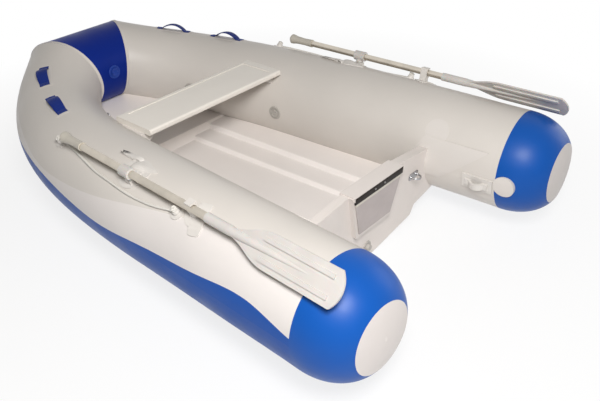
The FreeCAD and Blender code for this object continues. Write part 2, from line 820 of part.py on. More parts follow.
def rowlock(tube):
    """The rowlock glued to the port tube: round pad, arm and upright pivot pin."""
    arm_top = -collar_boss_drop - pivot_gap - pin_shoulder_height
    depth = tube_radius / 2
    arm = Part.makeBox(rowlock_arm_width, rowlock_arm_inboard + rowlock_arm_outboard, depth,
                       Vector(-rowlock_arm_width / 2, -rowlock_arm_inboard, arm_top - depth))
    shoulder = Part.makeCylinder(pin_shoulder_radius, pin_shoulder_height, Vector(0, 0, arm_top), UP)
    pin_top = -oar_shaft_radius - bore_roof - pin_top_gap
    pin = Part.makeCylinder(pin_radius, pin_top - arm_top, Vector(0, 0, arm_top), UP)
    head = arm.fuse(shoulder).fuse(pin)
    head.Placement = oar_placement()
    pad = disc_on_tube(oar_share + rowlock_pad_lead / run, rowlock_pad_angle, rowlock_pad_radius,
                       pad_thickness, tube)
    return head.cut(tube).fuse(pad).removeSplitter()


def clip_station():
    """Station of the clip, which holds the bare shaft aft of the pivot."""
    return oar_share - clip_reach * math.cos(toe_in) / run


def oar_clip(tube):
    """The clip that holds the stowed shaft: open outboard, the way the oar swings out."""
    gap = oar_shaft_radius + clip_clearance
    outer = gap + clip_wall
    start = -clip_reach - clip_length / 2
    depth = tube_radius / 2
    block = Part.makeBox(clip_length, outer + clip_lip, 2 * outer, Vector(start, -outer, -outer))
    stem = Part.makeBox(clip_length, clip_stem_width, depth, Vector(start, -outer, clip_wall / 2 - outer))
    stem.translate(Vector(0, 0, -depth))
    slot = Part.makeBox(2 * clip_length, outer + clip_lip, 2 * gap, Vector(start - clip_length / 2, 0, -gap))
    bore = rod(start - clip_length, start + 2 * clip_length, gap)
    clip = block.fuse(stem).cut(slot).cut(bore)
    clip.Placement = oar_placement()
    pad = disc_on_tube(clip_station(), clip_pad_angle, clip_pad_radius, pad_thickness, tube)
    return clip.cut(tube).fuse(pad).removeSplitter()


# Lifelines

def rope_ends():
    """Stations of the aft and the forward anchor of a lifeline."""
    aft = clip_station() + (clip_pad_radius + anchor_pad_radius + anchor_pad_gap) / run
    return aft, oar_share + (oar_grip_reach + anchor_lead) / run


def rope_points():
    """Control points of the port lifeline, laid on the tube's skin."""
    aft, fore = rope_ends()
    return [tube_point(aft + (fore - aft) * share, angle, rope_radius + rope_lay_gap)
            for share, angle in rope_route]


def rounded_path(points):
    """Straight runs joined by tangent arcs, and the arcs' radii."""
    edges = []
    radii = []
    here = points[0]
    for before, corner, after in zip(points, points[1:], points[2:]):
        back = before - corner
        ahead = after - corner
        trim = 0.45 * min(back.Length, ahead.Length)
        turn = math.pi - back.getAngle(ahead)
        radii.append(trim / math.tan(turn / 2))
        back.normalize()
        ahead.normalize()
        start = corner + back * trim
        end = corner + ahead * trim
        inward = back + ahead
        inward.normalize()
        depth = radii[-1] / math.cos(turn / 2) - radii[-1]
        edges.append(Part.makeLine(here, start))
        edges.append(Part.Arc(start, corner + inward * depth, end).toShape())
        here = end
    edges.append(Part.makeLine(here, points[-1]))
    return Part.Wire(edges), radii


def lifeline():
    """The rope along the port tube, between its two anchors."""
    path, radii = rounded_path(rope_points())
    first = rope_points()
    section = Part.Wire([Part.makeCircle(rope_radius, first[0], first[1] - first[0])])
    rope = path.makePipeShell([section], True, False)
    drawn = math.pi * rope_radius ** 2 * path.Length
    print("lifeline", round(path.Length), "mm, volume ratio", round(rope.Volume / drawn, 4),
          "arc radii", [round(radius) for radius in radii])
    return rope


def lifeline_anchor(station, angle, tube):
    """A round pad with the moulded boss that a rope's end is knotted into."""
    pad = disc_on_tube(station, angle, anchor_pad_radius, pad_thickness, tube)
    top = anchor_boss_height
    neck = anchor_boss_radius * 0.8
    boss = turned([(0, -bedding), (anchor_boss_radius, -bedding), (anchor_boss_radius, top * 0.55),
                   (neck, top), (0, top)], skin_placement(station, angle))
    return pad.fuse(boss.cut(tube)).removeSplitter()


# Handles, valves and patches

def arch(length, rise, thickness, width, foot_length):
    """A strap that arches over XY along X, with flat feet, centred across Y."""
    half = length / 2
    inner = half - foot_length
    crown = rise - thickness
    over = Part.Arc(Vector(-inner, 0, thickness), Vector(0, 0, rise), Vector(inner, 0, thickness)).toShape()
    step = inner - thickness
    under = Part.Arc(Vector(step, 0, 0), Vector(0, 0, crown), Vector(-step, 0, 0)).toShape()
    edges = [Part.makeLine(Vector(-half, 0, 0), Vector(-half, 0, thickness)),
             Part.makeLine(Vector(-half, 0, thickness), Vector(-inner, 0, thickness)), over,
             Part.makeLine(Vector(inner, 0, thickness), Vector(half, 0, thickness)),
             Part.makeLine(Vector(half, 0, thickness), Vector(half, 0, 0)),
             Part.makeLine(Vector(half, 0, 0), Vector(step, 0, 0)), under,
             Part.makeLine(Vector(-step, 0, 0), Vector(-half, 0, 0))]
    strap = Part.Face(Part.Wire(edges)).extrude(Vector(0, width, 0))
    strap.translate(Vector(0, -width / 2, 0))
    return strap


def sunk_feet(strap, length, foot_length, width, depth):
    """A strap with its feet carried down, so that they reach a curved skin."""
    for start in (-length / 2, length / 2 - foot_length):
        foot = Part.makeBox(foot_length, width, depth, Vector(start, -width / 2, -depth))
        strap = strap.fuse(foot)
    return strap


def grab_handles(tube):
    """The webbing handles on top of the port tube."""
    handles = []
    for station in grab_handle_shares:
        strap = arch(grab_handle_length, grab_handle_rise, webbing_thickness, webbing_width, grab_foot_length)
        strap = sunk_feet(strap, grab_handle_length, grab_foot_length, webbing_width, bedding)
        strap.Placement = skin_placement(station, grab_handle_angle)
        handles.append(strap.cut(tube).removeSplitter())
    return Part.makeCompound(handles)


def carry_handle(tube):
    """The moulded carry handle on the inner face of the port tube, by the stern cone."""
    plate = Part.makeBox(carry_plate_length, carry_plate_width, carry_plate_thickness + bedding,
                         Vector(-carry_plate_length / 2, -carry_plate_width / 2, -bedding))
    grip = arch(carry_grip_length, carry_grip_rise, carry_grip_thickness, carry_grip_width, carry_foot_length)
    grip.translate(Vector(0, 0, carry_plate_thickness))
    shape = plate.fuse(grip)
    shape.Placement = skin_placement(cone_seam_station() + carry_handle_lead / run, carry_handle_angle)
    return shape.cut(tube).removeSplitter()


def valve(placement, host):
    """An inflation valve: flange on the skin and screwed cap."""
    flange_top = valve_flange_height
    cap_top = valve_flange_height + valve_cap_height
    profile = [(0, -bedding), (valve_flange_radius, -bedding), (valve_flange_radius, flange_top * 0.6),
               (valve_flange_radius - valve_flange_lip, flange_top), (valve_cap_radius, flange_top),
               (valve_cap_radius * 0.9, cap_top), (0, cap_top)]
    return turned(profile, placement).cut(host)


def valves(tube, nose):
    """The valves on both tubes' inner faces, and the one on the nose."""
    solids = []
    for station in valve_shares:
        port = valve(skin_placement(station, valve_angle), tube)
        solids += [port, mirrored(port)]
    turn = math.radians(nose_valve_angle)
    outward = Vector(math.cos(turn), 0, math.sin(turn))
    foot = Vector(nose_x, 0, nose_height) + outward * nose_radius
    solids.append(valve(FreeCAD.Placement(foot, FreeCAD.Rotation(UP, outward)), nose))
    return Part.makeCompound(solids)


def seam_disc(tube, cone):
    """The round pad over the seam between the port tube and its cone."""
    station = cone_seam_station() - seam_disc_overlap / run
    disc = disc_on_tube(station, seam_disc_angle, seam_disc_radius, seam_disc_thickness, tube)
    return disc.cut(cone)


def gusset(tube, board, blank):
    """The pointed flap that ties the transom's wing to the port tube."""
    centre, tangent, radius = tube_frame(place_at(0))
    middle = (gusset_top_angle + gusset_low_angle) / 2
    outward = radial(tangent, middle)
    sideways = tangent.cross(outward)
    spread = radius * math.sin(math.radians((gusset_low_angle - gusset_top_angle) / 2))
    corners = [tangent * -gusset_reach_aft + sideways * -spread,
               tangent * (gusset_reach_forward * 0.5) + sideways * -spread,
               tangent * gusset_reach_forward + sideways * (spread * 0.2),
               tangent * (gusset_reach_forward * 0.5) + sideways * spread,
               tangent * -gusset_low_reach + sideways * spread]
    flap = prism([centre + corner for corner in corners], outward * (radius * 2))
    length = 2 * (gusset_reach_aft + gusset_reach_forward)
    skin = Part.makeCylinder(radius + gusset_thickness, length, centre - tangent * (length / 2), tangent)
    flap = flap.common(skin).cut(tube).cut(board).cut(blank)
    return largest(flap)


# Bow fittings

def deck_eye():
    """The small eye on the bow deck, for the painter."""
    (_, _), (aft_x, aft_z), (fore_x, fore_z) = deck_top()
    slope = (fore_z - aft_z) / (fore_x - aft_x)
    x = transom_x + deck_eye_share * run
    normal = Vector(-slope, 0, 1)
    normal.normalize()
    shape = eye(deck_eye_span, deck_eye_reach, deck_eye_bar_radius, deck_eye_span * 1.7,
                deck_eye_span * 0.7, deck_eye_plate_thickness)
    foot = Vector(x, deck_eye_offset, aft_z + slope * (x - aft_x))
    shape.Placement = FreeCAD.Placement(foot, FreeCAD.Rotation(UP, normal))
    return shape


def keel_point(hull_solid, x):
    """Lowest point of the hull on the centre line at an x."""
    probe = Part.makeLine(Vector(x, 0, -tube_height), Vector(x, 0, nose_height))
    return min(probe.common(hull_solid).Vertexes, key=lambda vertex: vertex.Point.z).Point


def stem_eye(hull_solid):
    """The towing eye low on the stem, below the nose."""
    x = transom_x + stem_eye_share * run
    foot = keel_point(hull_solid, x)
    along = keel_point(hull_solid, x + stem_eye_span / 2) - foot
    along.normalize()
    outward = TO_PORT.cross(along)
    shape = eye(stem_eye_span, stem_eye_reach, eye_bar_radius, stem_eye_span * 1.5, stem_eye_plate_width,
                eye_plate_thickness)
    root = Part.makeBox(stem_eye_span * 1.3, keel_half_width * 1.6, bedding,
                        Vector(-stem_eye_span * 0.65, -keel_half_width * 0.8, -bedding))
    shape = shape.fuse(root)
    shape.Placement = FreeCAD.Placement(foot + outward * stem_eye_sink,
                                        FreeCAD.Rotation(along, TO_PORT * -1, outward, "ZXY"))
    return shape.cut(hull_solid)


def build():
    """Every piece of the boat by its name."""
    tube = tube_side()
    cone = stern_cone()
    nose = tube_nose()
    tubes = [tube, mirrored(tube), cone, mirrored(cone), nose]
    blue_wedge = wedge(keel_side_seam_angle, blue_panel_seam, -90, 0.12)
    white_wedge = wedge(white_lower_angle, white_panel_seam, 180, 0.3)
    above_blue = tube.cut(blue_wedge)
    blank = hull_blank(tubes)
    board = transom(tubes)
    pad = motor_pad()
    hull_solid = hull(blank)
    pieces = {
        "hull": hull_solid,
        "deck_liner": deck_liner(blank),
        "bow_deck": bow_deck(blank, hull_solid),
        "transom": board,
        "motor_pad": pad,
        "motor_plate": motor_plate(),
        "transom_cap": transom_cap(board, pad),
        "tow_eyes": both_sides(tow_eye()),
        "drain_plug": drain_plug(),
        "tube_nose": nose,
        "seat": seat(),
        "seat_holders": both_sides(seat_holder(tube)),
        "valves": valves(tube, nose),
        "carry_handles": both_sides(carry_handle(tube)),
        "seam_discs": both_sides(seam_disc(tube, cone)),
        "transom_gussets": both_sides(gusset(tube, board, blank)),
        "deck_eye": deck_eye(),
        "stem_eye": stem_eye(hull_solid),
    }
    aft, fore = rope_ends()
    anchors = [lifeline_anchor(fore, rope_route[0][1], tube), lifeline_anchor(aft, rope_route[-1][1], tube)]
    pieces["lifeline_anchors"] = both_sides(Part.makeCompound(anchors))
    port_side = {
        "tube_top": largest(above_blue.cut(white_wedge)),
        "tube_side_panel": largest(above_blue.common(white_wedge)),
        "tube_lower_panel": largest(tube.common(blue_wedge)),
        "stern_cone": cone,
        "end_cap": end_cap(),
        "grab_handles": grab_handles(tube),
        "rowlock": rowlock(tube),
        "oar_clip": oar_clip(tube),
        "lifeline": lifeline(),
    }
    for name, shape in (("oar_shaft", oar_shaft()), ("oar_grip", oar_grip()), ("oar_blade", oar_blade()),
                        ("oar_collar", oar_collar())):
        shape.Placement = oar_placement().multiply(shape.Placement)
        port_side[name] = shape
    for name, shape in port_side.items():
        pieces[name + "_port"] = shape
        pieces[name + "_starboard"] = mirrored(shape)
    return pieces


os.makedirs("parts", exist_ok=True)
for node, piece in build().items():
    piece.exportStep("parts/" + node + ".step")
    state = "valid" if piece.isValid() else "INVALID"
    print(node, len(piece.Solids), "solid", round(piece.Volume / 1000), "cm3", state)
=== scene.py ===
"""Dresses a small inflatable tender: coated fabric, gelcoat, webbing, rope, oars and fittings.

Metres. +X runs forward to the bow, +Y to port, +Z up, with the floor at height 0.
"""

import logging
import math
from dataclasses import dataclass
from enum import Enum
from typing import Callable, Mapping, Sequence

import bpy
from bpy.types import ID, Material, Node, NodeSocket, Object, World
from mathutils import Matrix, Vector


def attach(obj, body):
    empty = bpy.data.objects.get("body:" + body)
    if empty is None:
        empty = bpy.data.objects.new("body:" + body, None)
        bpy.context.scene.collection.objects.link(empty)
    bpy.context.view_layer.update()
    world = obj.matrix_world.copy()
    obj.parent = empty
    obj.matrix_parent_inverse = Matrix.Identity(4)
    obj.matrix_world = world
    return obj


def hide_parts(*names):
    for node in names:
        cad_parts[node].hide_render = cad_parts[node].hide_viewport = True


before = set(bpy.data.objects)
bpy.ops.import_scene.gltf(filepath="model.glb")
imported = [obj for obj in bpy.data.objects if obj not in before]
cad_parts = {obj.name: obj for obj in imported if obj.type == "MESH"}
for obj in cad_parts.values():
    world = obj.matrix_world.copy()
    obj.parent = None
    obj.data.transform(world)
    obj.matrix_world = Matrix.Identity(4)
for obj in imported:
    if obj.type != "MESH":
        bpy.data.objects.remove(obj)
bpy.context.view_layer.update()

log = logging.getLogger("tender")
NODES: dict[str, Object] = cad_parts
UP = Vector((0.0, 0.0, 1.0))
Colour = tuple[float, float, float]


class Side(Enum):
    """The two sides of the boat, with the sign of Y on each."""

    PORT = 1.0
    STARBOARD = -1.0

    @property
    def word(self) -> str:
        """The side's name as the nodes have it."""
        return self.name.lower()

    def place(self, point: Vector) -> Vector:
        """A point given for the port side, moved to this side."""
        return Vector((point.x, point.y * self.value, point.z))


# Modelling helpers


def only(*objects: Object) -> None:
    """Leaves just these objects selected, the first one active.

    Args:
        objects: The objects to select.
    """
    bpy.ops.object.select_all(action="DESELECT")
    for item in objects:
        item.select_set(True)
    bpy.context.view_layer.objects.active = objects[0]


def named(name: str) -> Object:
    """The active object, renamed.

    Args:
        name: Its new name.

    Returns:
        The object.
    """
    item = bpy.context.view_layer.objects.active
    item.name = name
    item.data.name = name
    return item


def started(name: str, add: Callable[..., object], **settings: object) -> Object:
    """A primitive to model from, added with nothing else selected.

    Args:
        name: Its name.
        add: The operator that adds it.
        settings: The operator's values by name.

    Returns:
        The object.
    """
    bpy.ops.object.select_all(action="DESELECT")
    add(**settings)
    return named(name)


def drum(name: str, sides: int, radius: float, low: float, high: float) -> Object:
    """An upright cylinder to model from.

    Args:
        name: Its name.
        sides: Faces round it.
        radius: Its radius.
        low: Height of its foot.
        high: Height of its top.

    Returns:
        The cylinder.
    """
    item = started(
        name, bpy.ops.mesh.primitive_cylinder_add,
        vertices=sides, radius=radius, depth=high - low, location=(0, 0, (low + high) / 2),
    )
    settle(item, Matrix.Identity(4))
    return item


def block(name: str, sizes: Sequence[float], middle: Sequence[float] = (0, 0, 0)) -> Object:
    """A box to model from.

    Args:
        name: Its name.
        sizes: Its lengths along X, Y and Z.
        middle: Its middle.

    Returns:
        The box.
    """
    item = started(name, bpy.ops.mesh.primitive_cube_add, size=1.0)
    item.data.transform(Matrix.Diagonal((*sizes, 1.0)))
    item.data.transform(Matrix.Translation(middle))
    return item


def in_scene(name: str, data: ID) -> Object:
    """A new object in the scene.

    Args:
        name: Its name.
        data: The camera, lamp or curve that it shows.

    Returns:
        The object.
    """
    item = bpy.data.objects.new(name, data)
    bpy.context.scene.collection.objects.link(item)
    return item


def edit(item: Object, steps: Callable[[], object], top_only: bool = False) -> None:
    """Runs edit-mode steps on one object.

    Args:
        item: The object to edit.
        steps: Called in edit mode, with everything selected.
        top_only: Whether to select only the faces that look up.
    """
    level = 0.9
    only(item)
    bpy.ops.object.mode_set(mode="EDIT")
    bpy.ops.mesh.select_all(action="DESELECT" if top_only else "SELECT")
    if top_only:
        bpy.ops.mesh.select_mode(type="FACE")
        bpy.ops.object.mode_set(mode="OBJECT")
        for face in item.data.polygons:
            face.select = face.normal.z > level
        bpy.ops.object.mode_set(mode="EDIT")
    steps()
    bpy.ops.object.mode_set(mode="OBJECT")


def sink_top(item: Object, rim: float, depth: float) -> None:
    """Insets an object's top face and lowers the middle.

    Args:
        item: The object.
        rim: Width of the rim that stays up.
        depth: How far the middle goes down.
    """

    def sink() -> None:
        """Works on the selected top face."""
        bpy.ops.mesh.inset(thickness=rim)
        bpy.ops.mesh.extrude_region_move(TRANSFORM_OT_translate={"value": (0, 0, -depth)})

    edit(item, sink, top_only=True)


def modify(item: Object, kind: str, **settings: object) -> None:
    """Adds a modifier and applies it.

    Args:
        item: The object.
        kind: Blender's type of modifier.
        settings: The modifier's values by name.
    """
    only(item)
    modifier = item.modifiers.new(kind.title(), kind)
    for key, value in settings.items():
        setattr(modifier, key, value)
    bpy.ops.object.modifier_apply(modifier=modifier.name)


def rounded(
    item: Object, width: float, segments: int = 3, angle: float = 30.0, crease: float = 35.0
) -> None:
    """Bevels the sharp edges and smooths the rest.

    Args:
        item: The object.
        width: Width of the bevel.
        segments: Rows of faces in it.
        angle: Edges sharper than this many degrees are bevelled.
        crease: Edges sharper than this afterwards are shaded sharp.
    """
    limit = math.radians(angle)
    modify(item, "BEVEL", width=width, segments=segments, limit_method="ANGLE", angle_limit=limit)
    smooth(item, crease)


def smooth(item: Object, crease: float = 35.0) -> None:
    """Shades an object smooth, apart from edges sharper than an angle in degrees."""
    only(item)
    bpy.ops.object.shade_smooth_by_angle(angle=math.radians(crease))


def facing(outward: Vector, where: Vector, up: str = "Y") -> Matrix:
    """A frame at a point, with Z along a direction and the axis named by up nearest to upright."""
    return Matrix.Translation(where) @ outward.to_track_quat("Z", up).to_matrix().to_4x4()


def settle(item: Object, place: Matrix) -> None:
    """Moves a mesh to its place and leaves the object itself at the origin.

    Args:
        item: The object.
        place: Where its origin goes.
    """
    item.data.transform(place @ item.matrix_world)
    item.matrix_world = Matrix.Identity(4)
    if place.determinant() < 0:
        item.data.flip_normals()


def joined(name: str, items: Sequence[Object]) -> Object:
    """Joins meshes into one object.

    Args:
        name: Name of the result.
        items: The objects, which are used up.

    Returns:
        The joined object.
    """
    only(*items)
    bpy.ops.object.join()
    return named(name)


def twin(item: Object, name: str) -> Object:
    """A copy with its own mesh, mirrored across the centre line.

    Args:
        item: The object to copy, at the origin.
        name: Name of the copy.

    Returns:
        The copy.
    """
    copy = item.copy()
    copy.data = item.data.copy()
    bpy.context.scene.collection.objects.link(copy)
    copy.name = name
    copy.data.name = name
    copy.data.transform(Matrix.Diagonal((1.0, -1.0, 1.0, 1.0)))
    copy.data.flip_normals()
    return copy


# The line of the tubes, as the hull's builder sets it out


@dataclass(frozen=True)
class TubeLine:
    """The port tube's axis: straight from the stern, then round the bow curve to the nose seam."""

    transom_x: float = -0.739
    spacing: float = 0.590
    height: float = 0.300
    toe_in: float = math.radians(2.94)
    radius: float = 0.210
    curve_start: float = 0.663143
    shoulder_reach: float = 0.708877
    nose_x: float = 1.020
    nose_radius: float = 0.180
    nose_half_width: float = 0.15989
    nose_lift: float = 0.100
    nose_heading: float = 42.3
    nose_pitch: float = 16.2
    nose_reach: float = 0.31662
    search: tuple[float, float] = (-20.0, 12.0)
    halvings: int = 50
    slope_step: float = 0.01

    @staticmethod
    def direction(heading: float, pitch: float) -> Vector:
        """The unit vector at a heading and a pitch.

        Args:
            heading: Degrees from forward towards port.
            pitch: Degrees up from level.

        Returns:
            The vector.
        """
        turn, lift = math.radians(heading), math.radians(pitch)
        flat = math.cos(lift)
        return Vector((math.cos(turn) * flat, math.sin(turn) * flat, math.sin(lift)))

    @staticmethod
    def outward(tangent: Vector, angle: float) -> Vector:
        """Unit vector out of the skin, at an angle in radians up from outboard."""
        outboard = UP.cross(tangent).normalized()
        return outboard * math.cos(angle) + tangent.cross(outboard) * math.sin(angle)

    @property
    def forward(self) -> Vector:
        """Direction of the straight part."""
        return self.direction(-math.degrees(self.toe_in), 0.0)

    @property
    def end_tangent(self) -> Vector:
        """Direction at the nose seam."""
        return self.direction(self.nose_heading - 90.0, self.nose_pitch)

    def poles(self) -> list[Vector]:
        """The bow curve's control points.

        Returns:
            The four points, from the straight part to the nose seam.
        """
        foot = Vector((self.transom_x, self.spacing, self.height))
        start = foot + self.forward * (self.curve_start / math.cos(self.toe_in))
        end = Vector((self.nose_x, self.nose_half_width, self.height + self.nose_lift))
        shoulder = start + self.forward * self.shoulder_reach
        return [start, shoulder, end - self.end_tangent * self.nose_reach, end]

    def at(self, place: float) -> tuple[Vector, Vector, float]:
        """Centre, forward direction and radius of the tube.

        Args:
            place: Negative counts radii back along the straight tube, 0 to 1 runs round the bow.

        Returns:
            The centre, the unit tangent and the radius there.
        """
        poles = self.poles()
        if place <= 0.0:
            return poles[0] + self.forward * (place * self.radius), self.forward, self.radius
        if place >= 1.0:
            beyond = self.end_tangent * ((place - 1) * self.nose_radius)
            return poles[3] + beyond, self.end_tangent, self.nose_radius
        rest = 1 - place
        weights = (rest**3, 3 * rest**2 * place, 3 * rest * place**2, place**3)
        centre = sum((pole * weight for pole, weight in zip(poles, weights)), Vector())
        slopes = (rest**2, 2 * rest * place, place**2)
        tangent = sum(((b - a) * slope for slope, a, b in zip(slopes, poles, poles[1:])), Vector())
        return centre, tangent.normalized(), self.radius + (self.nose_radius - self.radius) * place

    def place_at(self, station: float) -> float:
        """The place whose centre lies at a station, found by halving.

        Args:
            station: Distance ahead of the transom.

        Returns:
            The place, counted as at() counts it.
        """
        low, high = self.search
        for _ in range(self.halvings):
            middle = (low + high) / 2
            if self.at(middle)[0].x < self.transom_x + station:
                low = middle
            else:
                high = middle
        return (low + high) / 2

    def skin(self, station: float, angle: float, lift: float = 0.0) -> Matrix:
        """Frame on the skin: X forward along the tube, Z out of the skin.

        Args:
            station: Distance ahead of the transom.
            angle: Height angle up from outboard, in degrees.
            lift: Height above the skin.

        Returns:
            The frame as a matrix.
        """
        centre, tangent, radius = self.at(self.place_at(station))
        outward = self.outward(tangent, math.radians(angle))
        stand = Matrix((tangent, outward.cross(tangent), outward)).transposed().to_4x4()
        stand.translation = centre + outward * (radius + lift)
        return stand

    def further(self, place: float, arc: float) -> float:
        """The place that lies a short arc further along the tube.

        Args:
            place: Where the arc starts.
            arc: Its length, negative towards the stern.

        Returns:
            The place at its end.
        """
        step = self.slope_step
        spot = place
        for _ in range(2):
            middle = (place + spot) / 2
            moved = self.at(middle + step)[0] - self.at(middle - step)[0]
            spot = place + arc / (moved.length / (2 * step))
        return spot

    def wrap(self, item: Object, station: float, angle: float, turn: float = 0.0) -> None:
        """Lays a flat piece on the port tube's skin: X along the tube, Y round it, Z out of it.

        Args:
            item: The piece, modelled flat about the origin.
            station: Distance of its middle ahead of the transom.
            angle: Height angle of its middle up from outboard, in degrees.
            turn: Degrees that it is turned on the skin first.
        """
        start = self.place_at(station)
        spun = Matrix.Rotation(math.radians(turn), 4, "Z")
        for vertex in item.data.vertices:
            flat = spun @ vertex.co
            centre, tangent, radius = self.at(self.further(start, flat.x))
            outward = self.outward(tangent, math.radians(angle) - flat.y / radius)
            vertex.co = centre + outward * (radius + flat.z)
        item.data.update()


LINE = TubeLine()


# Finishes


class Tree:
    """The nodes of a material or a world, with short calls to add and link them."""

    def __init__(self, owner: Material | World) -> None:
        """Turns the owner's nodes on."""
        owner.use_nodes = True
        self.nodes, self.links = owner.node_tree.nodes, owner.node_tree.links

    def feed(self, node: Node, inputs: Mapping[str | int, object]) -> None:
        """Gives a node's inputs their values, or links them to other nodes.

        Args:
            node: The node.
            inputs: A value or another node's socket for each input, by name or number.
        """
        for key, value in inputs.items():
            if isinstance(value, NodeSocket):
                self.links.new(value, node.inputs[key])
            else:
                node.inputs[key].default_value = value

    def node(
        self, kind: str, inputs: Mapping[str | int, object] | None = None, **settings: object
    ) -> Node:
        """A new node with its inputs and properties set.

        Args:
            kind: Blender's type of node.
            inputs: Its inputs, as feed() takes them.
            settings: Its properties by name.

        Returns:
            The node.
        """
        made = self.nodes.new(kind)
        for key, value in settings.items():
            setattr(made, key, value)
        self.feed(made, inputs or {})
        return made

    def direct_rays(self) -> NodeSocket:
        """A switch that is 1 for camera, glossy and transmission rays and 0 for the others.

        Returns:
            The switch's value.
        """
        path = self.node("ShaderNodeLightPath")
        value = path.outputs["Is Camera Ray"]
        for ray in ("Is Glossy Ray", "Is Transmission Ray"):
            pair = {0: value, 1: path.outputs[ray]}
            value = self.node("ShaderNodeMath", pair, operation="MAXIMUM").outputs[0]
        return value

    def show_mix(self, share: NodeSocket, first: Node, second: Node, output: str) -> None:
        """Mixes two shaders and shows the mix.

        Args:
            share: The share of the second one.
            first: The shader where the share is 0.
            second: The shader where it is 1.
            output: Name of the output node.
        """
        parts = {0: share, 1: first.outputs[0], 2: second.outputs[0]}
        mix = self.node("ShaderNodeMixShader", parts)
        self.feed(self.nodes[output], {"Surface": mix.outputs[0]})


class Graph(Tree):
    """A material's tree round one principled shader, with the steps that the finishes share."""

    MIDDLE = (0.3, 0.7)

    def __init__(self, name: str) -> None:
        """Starts the material.

        Args:
            name: The material's name.
        """
        self.material = bpy.data.materials.new(name)
        super().__init__(self.material)
        self.shader = self.nodes["Principled BSDF"]
        self.object_space = self.node("ShaderNodeTexCoord").outputs["Object"]

    def set(self, **values: object) -> None:
        """Feeds the shader's own inputs, with words joined by underscores."""
        self.feed(self.shader, {key.replace("_", " "): value for key, value in values.items()})

    def noise(
        self, scale: float, detail: float = 3.0, stretch: Sequence[float] = (1, 1, 1)
    ) -> NodeSocket:
        """Noise on object coordinates.

        Args:
            scale: Its scale.
            detail: Its octaves.
            stretch: Scale along each axis.

        Returns:
            The noise's value.
        """
        space = {"Vector": self.object_space, "Scale": stretch}
        place = self.node("ShaderNodeMapping", space).outputs[0]
        made = self.node("ShaderNodeTexNoise", {"Vector": place, "Scale": scale, "Detail": detail})
        return made.outputs[0]

    def mapped(self, value: NodeSocket, *limits: float) -> NodeSocket:
        """A value taken from one range to another; limits are the ends of both."""
        return self.node("ShaderNodeMapRange", dict(enumerate((value, *limits)))).outputs[0]

    def worn(self, value: NodeSocket, roughness: float, below: float, above: float) -> NodeSocket:
        """A roughness that a noise takes a little below and above its middle."""
        return self.mapped(value, *self.MIDDLE, roughness - below, roughness + above)

    def tones(
        self, value: NodeSocket, colour: Colour, darkest: float, lightest: float,
        ends: tuple[float, float] = MIDDLE,
    ) -> NodeSocket:
        """A colour made darker and lighter by a value.

        Args:
            value: The value.
            colour: The colour.
            darkest: Its factor at the lower end.
            lightest: Its factor at the upper end.
            ends: The value at the two ends.

        Returns:
            The varied colour.
        """
        made = self.node("ShaderNodeValToRGB", {0: value})
        for stop, end, factor in zip(made.color_ramp.elements, ends, (darkest, lightest)):
            stop.position = end
            stop.color = (*shade(colour, factor), 1.0)
        return made.outputs[0]

    def bump(
        self, height: NodeSocket, strength: float, depth: float, over: NodeSocket | None = None
    ) -> NodeSocket:
        """A bump from a height, over another bump if there is one.

        Args:
            height: The height, from 0 to 1.
            strength: How strongly it shows.
            depth: The height of 1 in metres.
            over: The normal that it lies on.

        Returns:
            The normal.
        """
        inputs = {"Height": height, "Strength": strength, "Distance": depth}
        if over is not None:
            inputs["Normal"] = over
        return self.node("ShaderNodeBump", inputs).outputs[0]

    def finish(self, colour: NodeSocket, roughness: NodeSocket, normal: NodeSocket) -> Material:
        """The material, with the three inputs that vary linked."""
        self.set(Base_Color=colour, Roughness=roughness, Normal=normal)
        return self.material


def shade(colour: Colour, factor: float) -> Colour:
    """A colour made lighter or darker by a factor."""
    return tuple(min(1.0, part * factor) for part in colour)


def linear(red: int, green: int, blue: int) -> Colour:
    """A colour written as on screen, from 0 to 255, in the renderer's linear values."""
    parts = (value / 255 for value in (red, green, blue))
    return tuple(v / 12.92 if v <= 0.04045 else ((v + 0.055) / 1.055) ** 2.4 for v in parts)


@dataclass(frozen=True)
class CoatedFabric:
    """Fabric with a smooth rubbery coat: faint weave, faint puckers, slightly uneven colour."""

    name: str
    colour: Colour
    roughness: float = 0.42
    uneven: float = 0.05
    coat: float = 0.06
    specular: float = 0.32

    def make(self) -> Material:
        """Builds the material.

        Returns:
            The material.
        """
        graph = Graph(self.name)
        graph.set(Specular_IOR_Level=self.specular, Coat_Weight=self.coat, Coat_Roughness=0.30)
        mottle = graph.noise(2.3, detail=4.0)
        colour = graph.tones(mottle, self.colour, 1 - self.uneven, 1 + self.uneven * 0.5)
        roughness = graph.worn(graph.noise(9.0), self.roughness, below=0.05, above=0.06)
        puckers = graph.noise(7.0, detail=2.0, stretch=(1.0, 1.6, 1.6))
        slack = graph.bump(puckers, strength=0.25, depth=0.004)
        weave = graph.bump(graph.noise(900.0, detail=1.0), strength=0.12, depth=0.0003, over=slack)
        return graph.finish(colour, roughness, weave)


@dataclass(frozen=True)
class Gelcoat:
    """Glossy moulded gelcoat, with a slow ripple and faint scuffs."""

    name: str
    colour: Colour
    roughness: float
    grain: float

    def make(self) -> Material:
        """Builds the material.

        Returns:
            The material.
        """
        graph = Graph(self.name)
        graph.set(Specular_IOR_Level=0.4, Coat_Weight=0.10, Coat_Roughness=0.25)
        colour = graph.tones(graph.noise(3.5, detail=5.0), self.colour, 0.95, 1.0)
        scuffs = graph.noise(60.0, detail=4.0, stretch=(0.25, 1.0, 1.0))
        roughness = graph.worn(scuffs, self.roughness, below=0.04, above=0.12)
        ripple = graph.bump(graph.noise(5.0, detail=1.0), strength=0.10, depth=0.002)
        pebbles = graph.noise(300.0, detail=1.0)
        relief = graph.bump(pebbles, strength=0.10 + self.grain, depth=0.00006, over=ripple)
        return graph.finish(colour, roughness, relief)


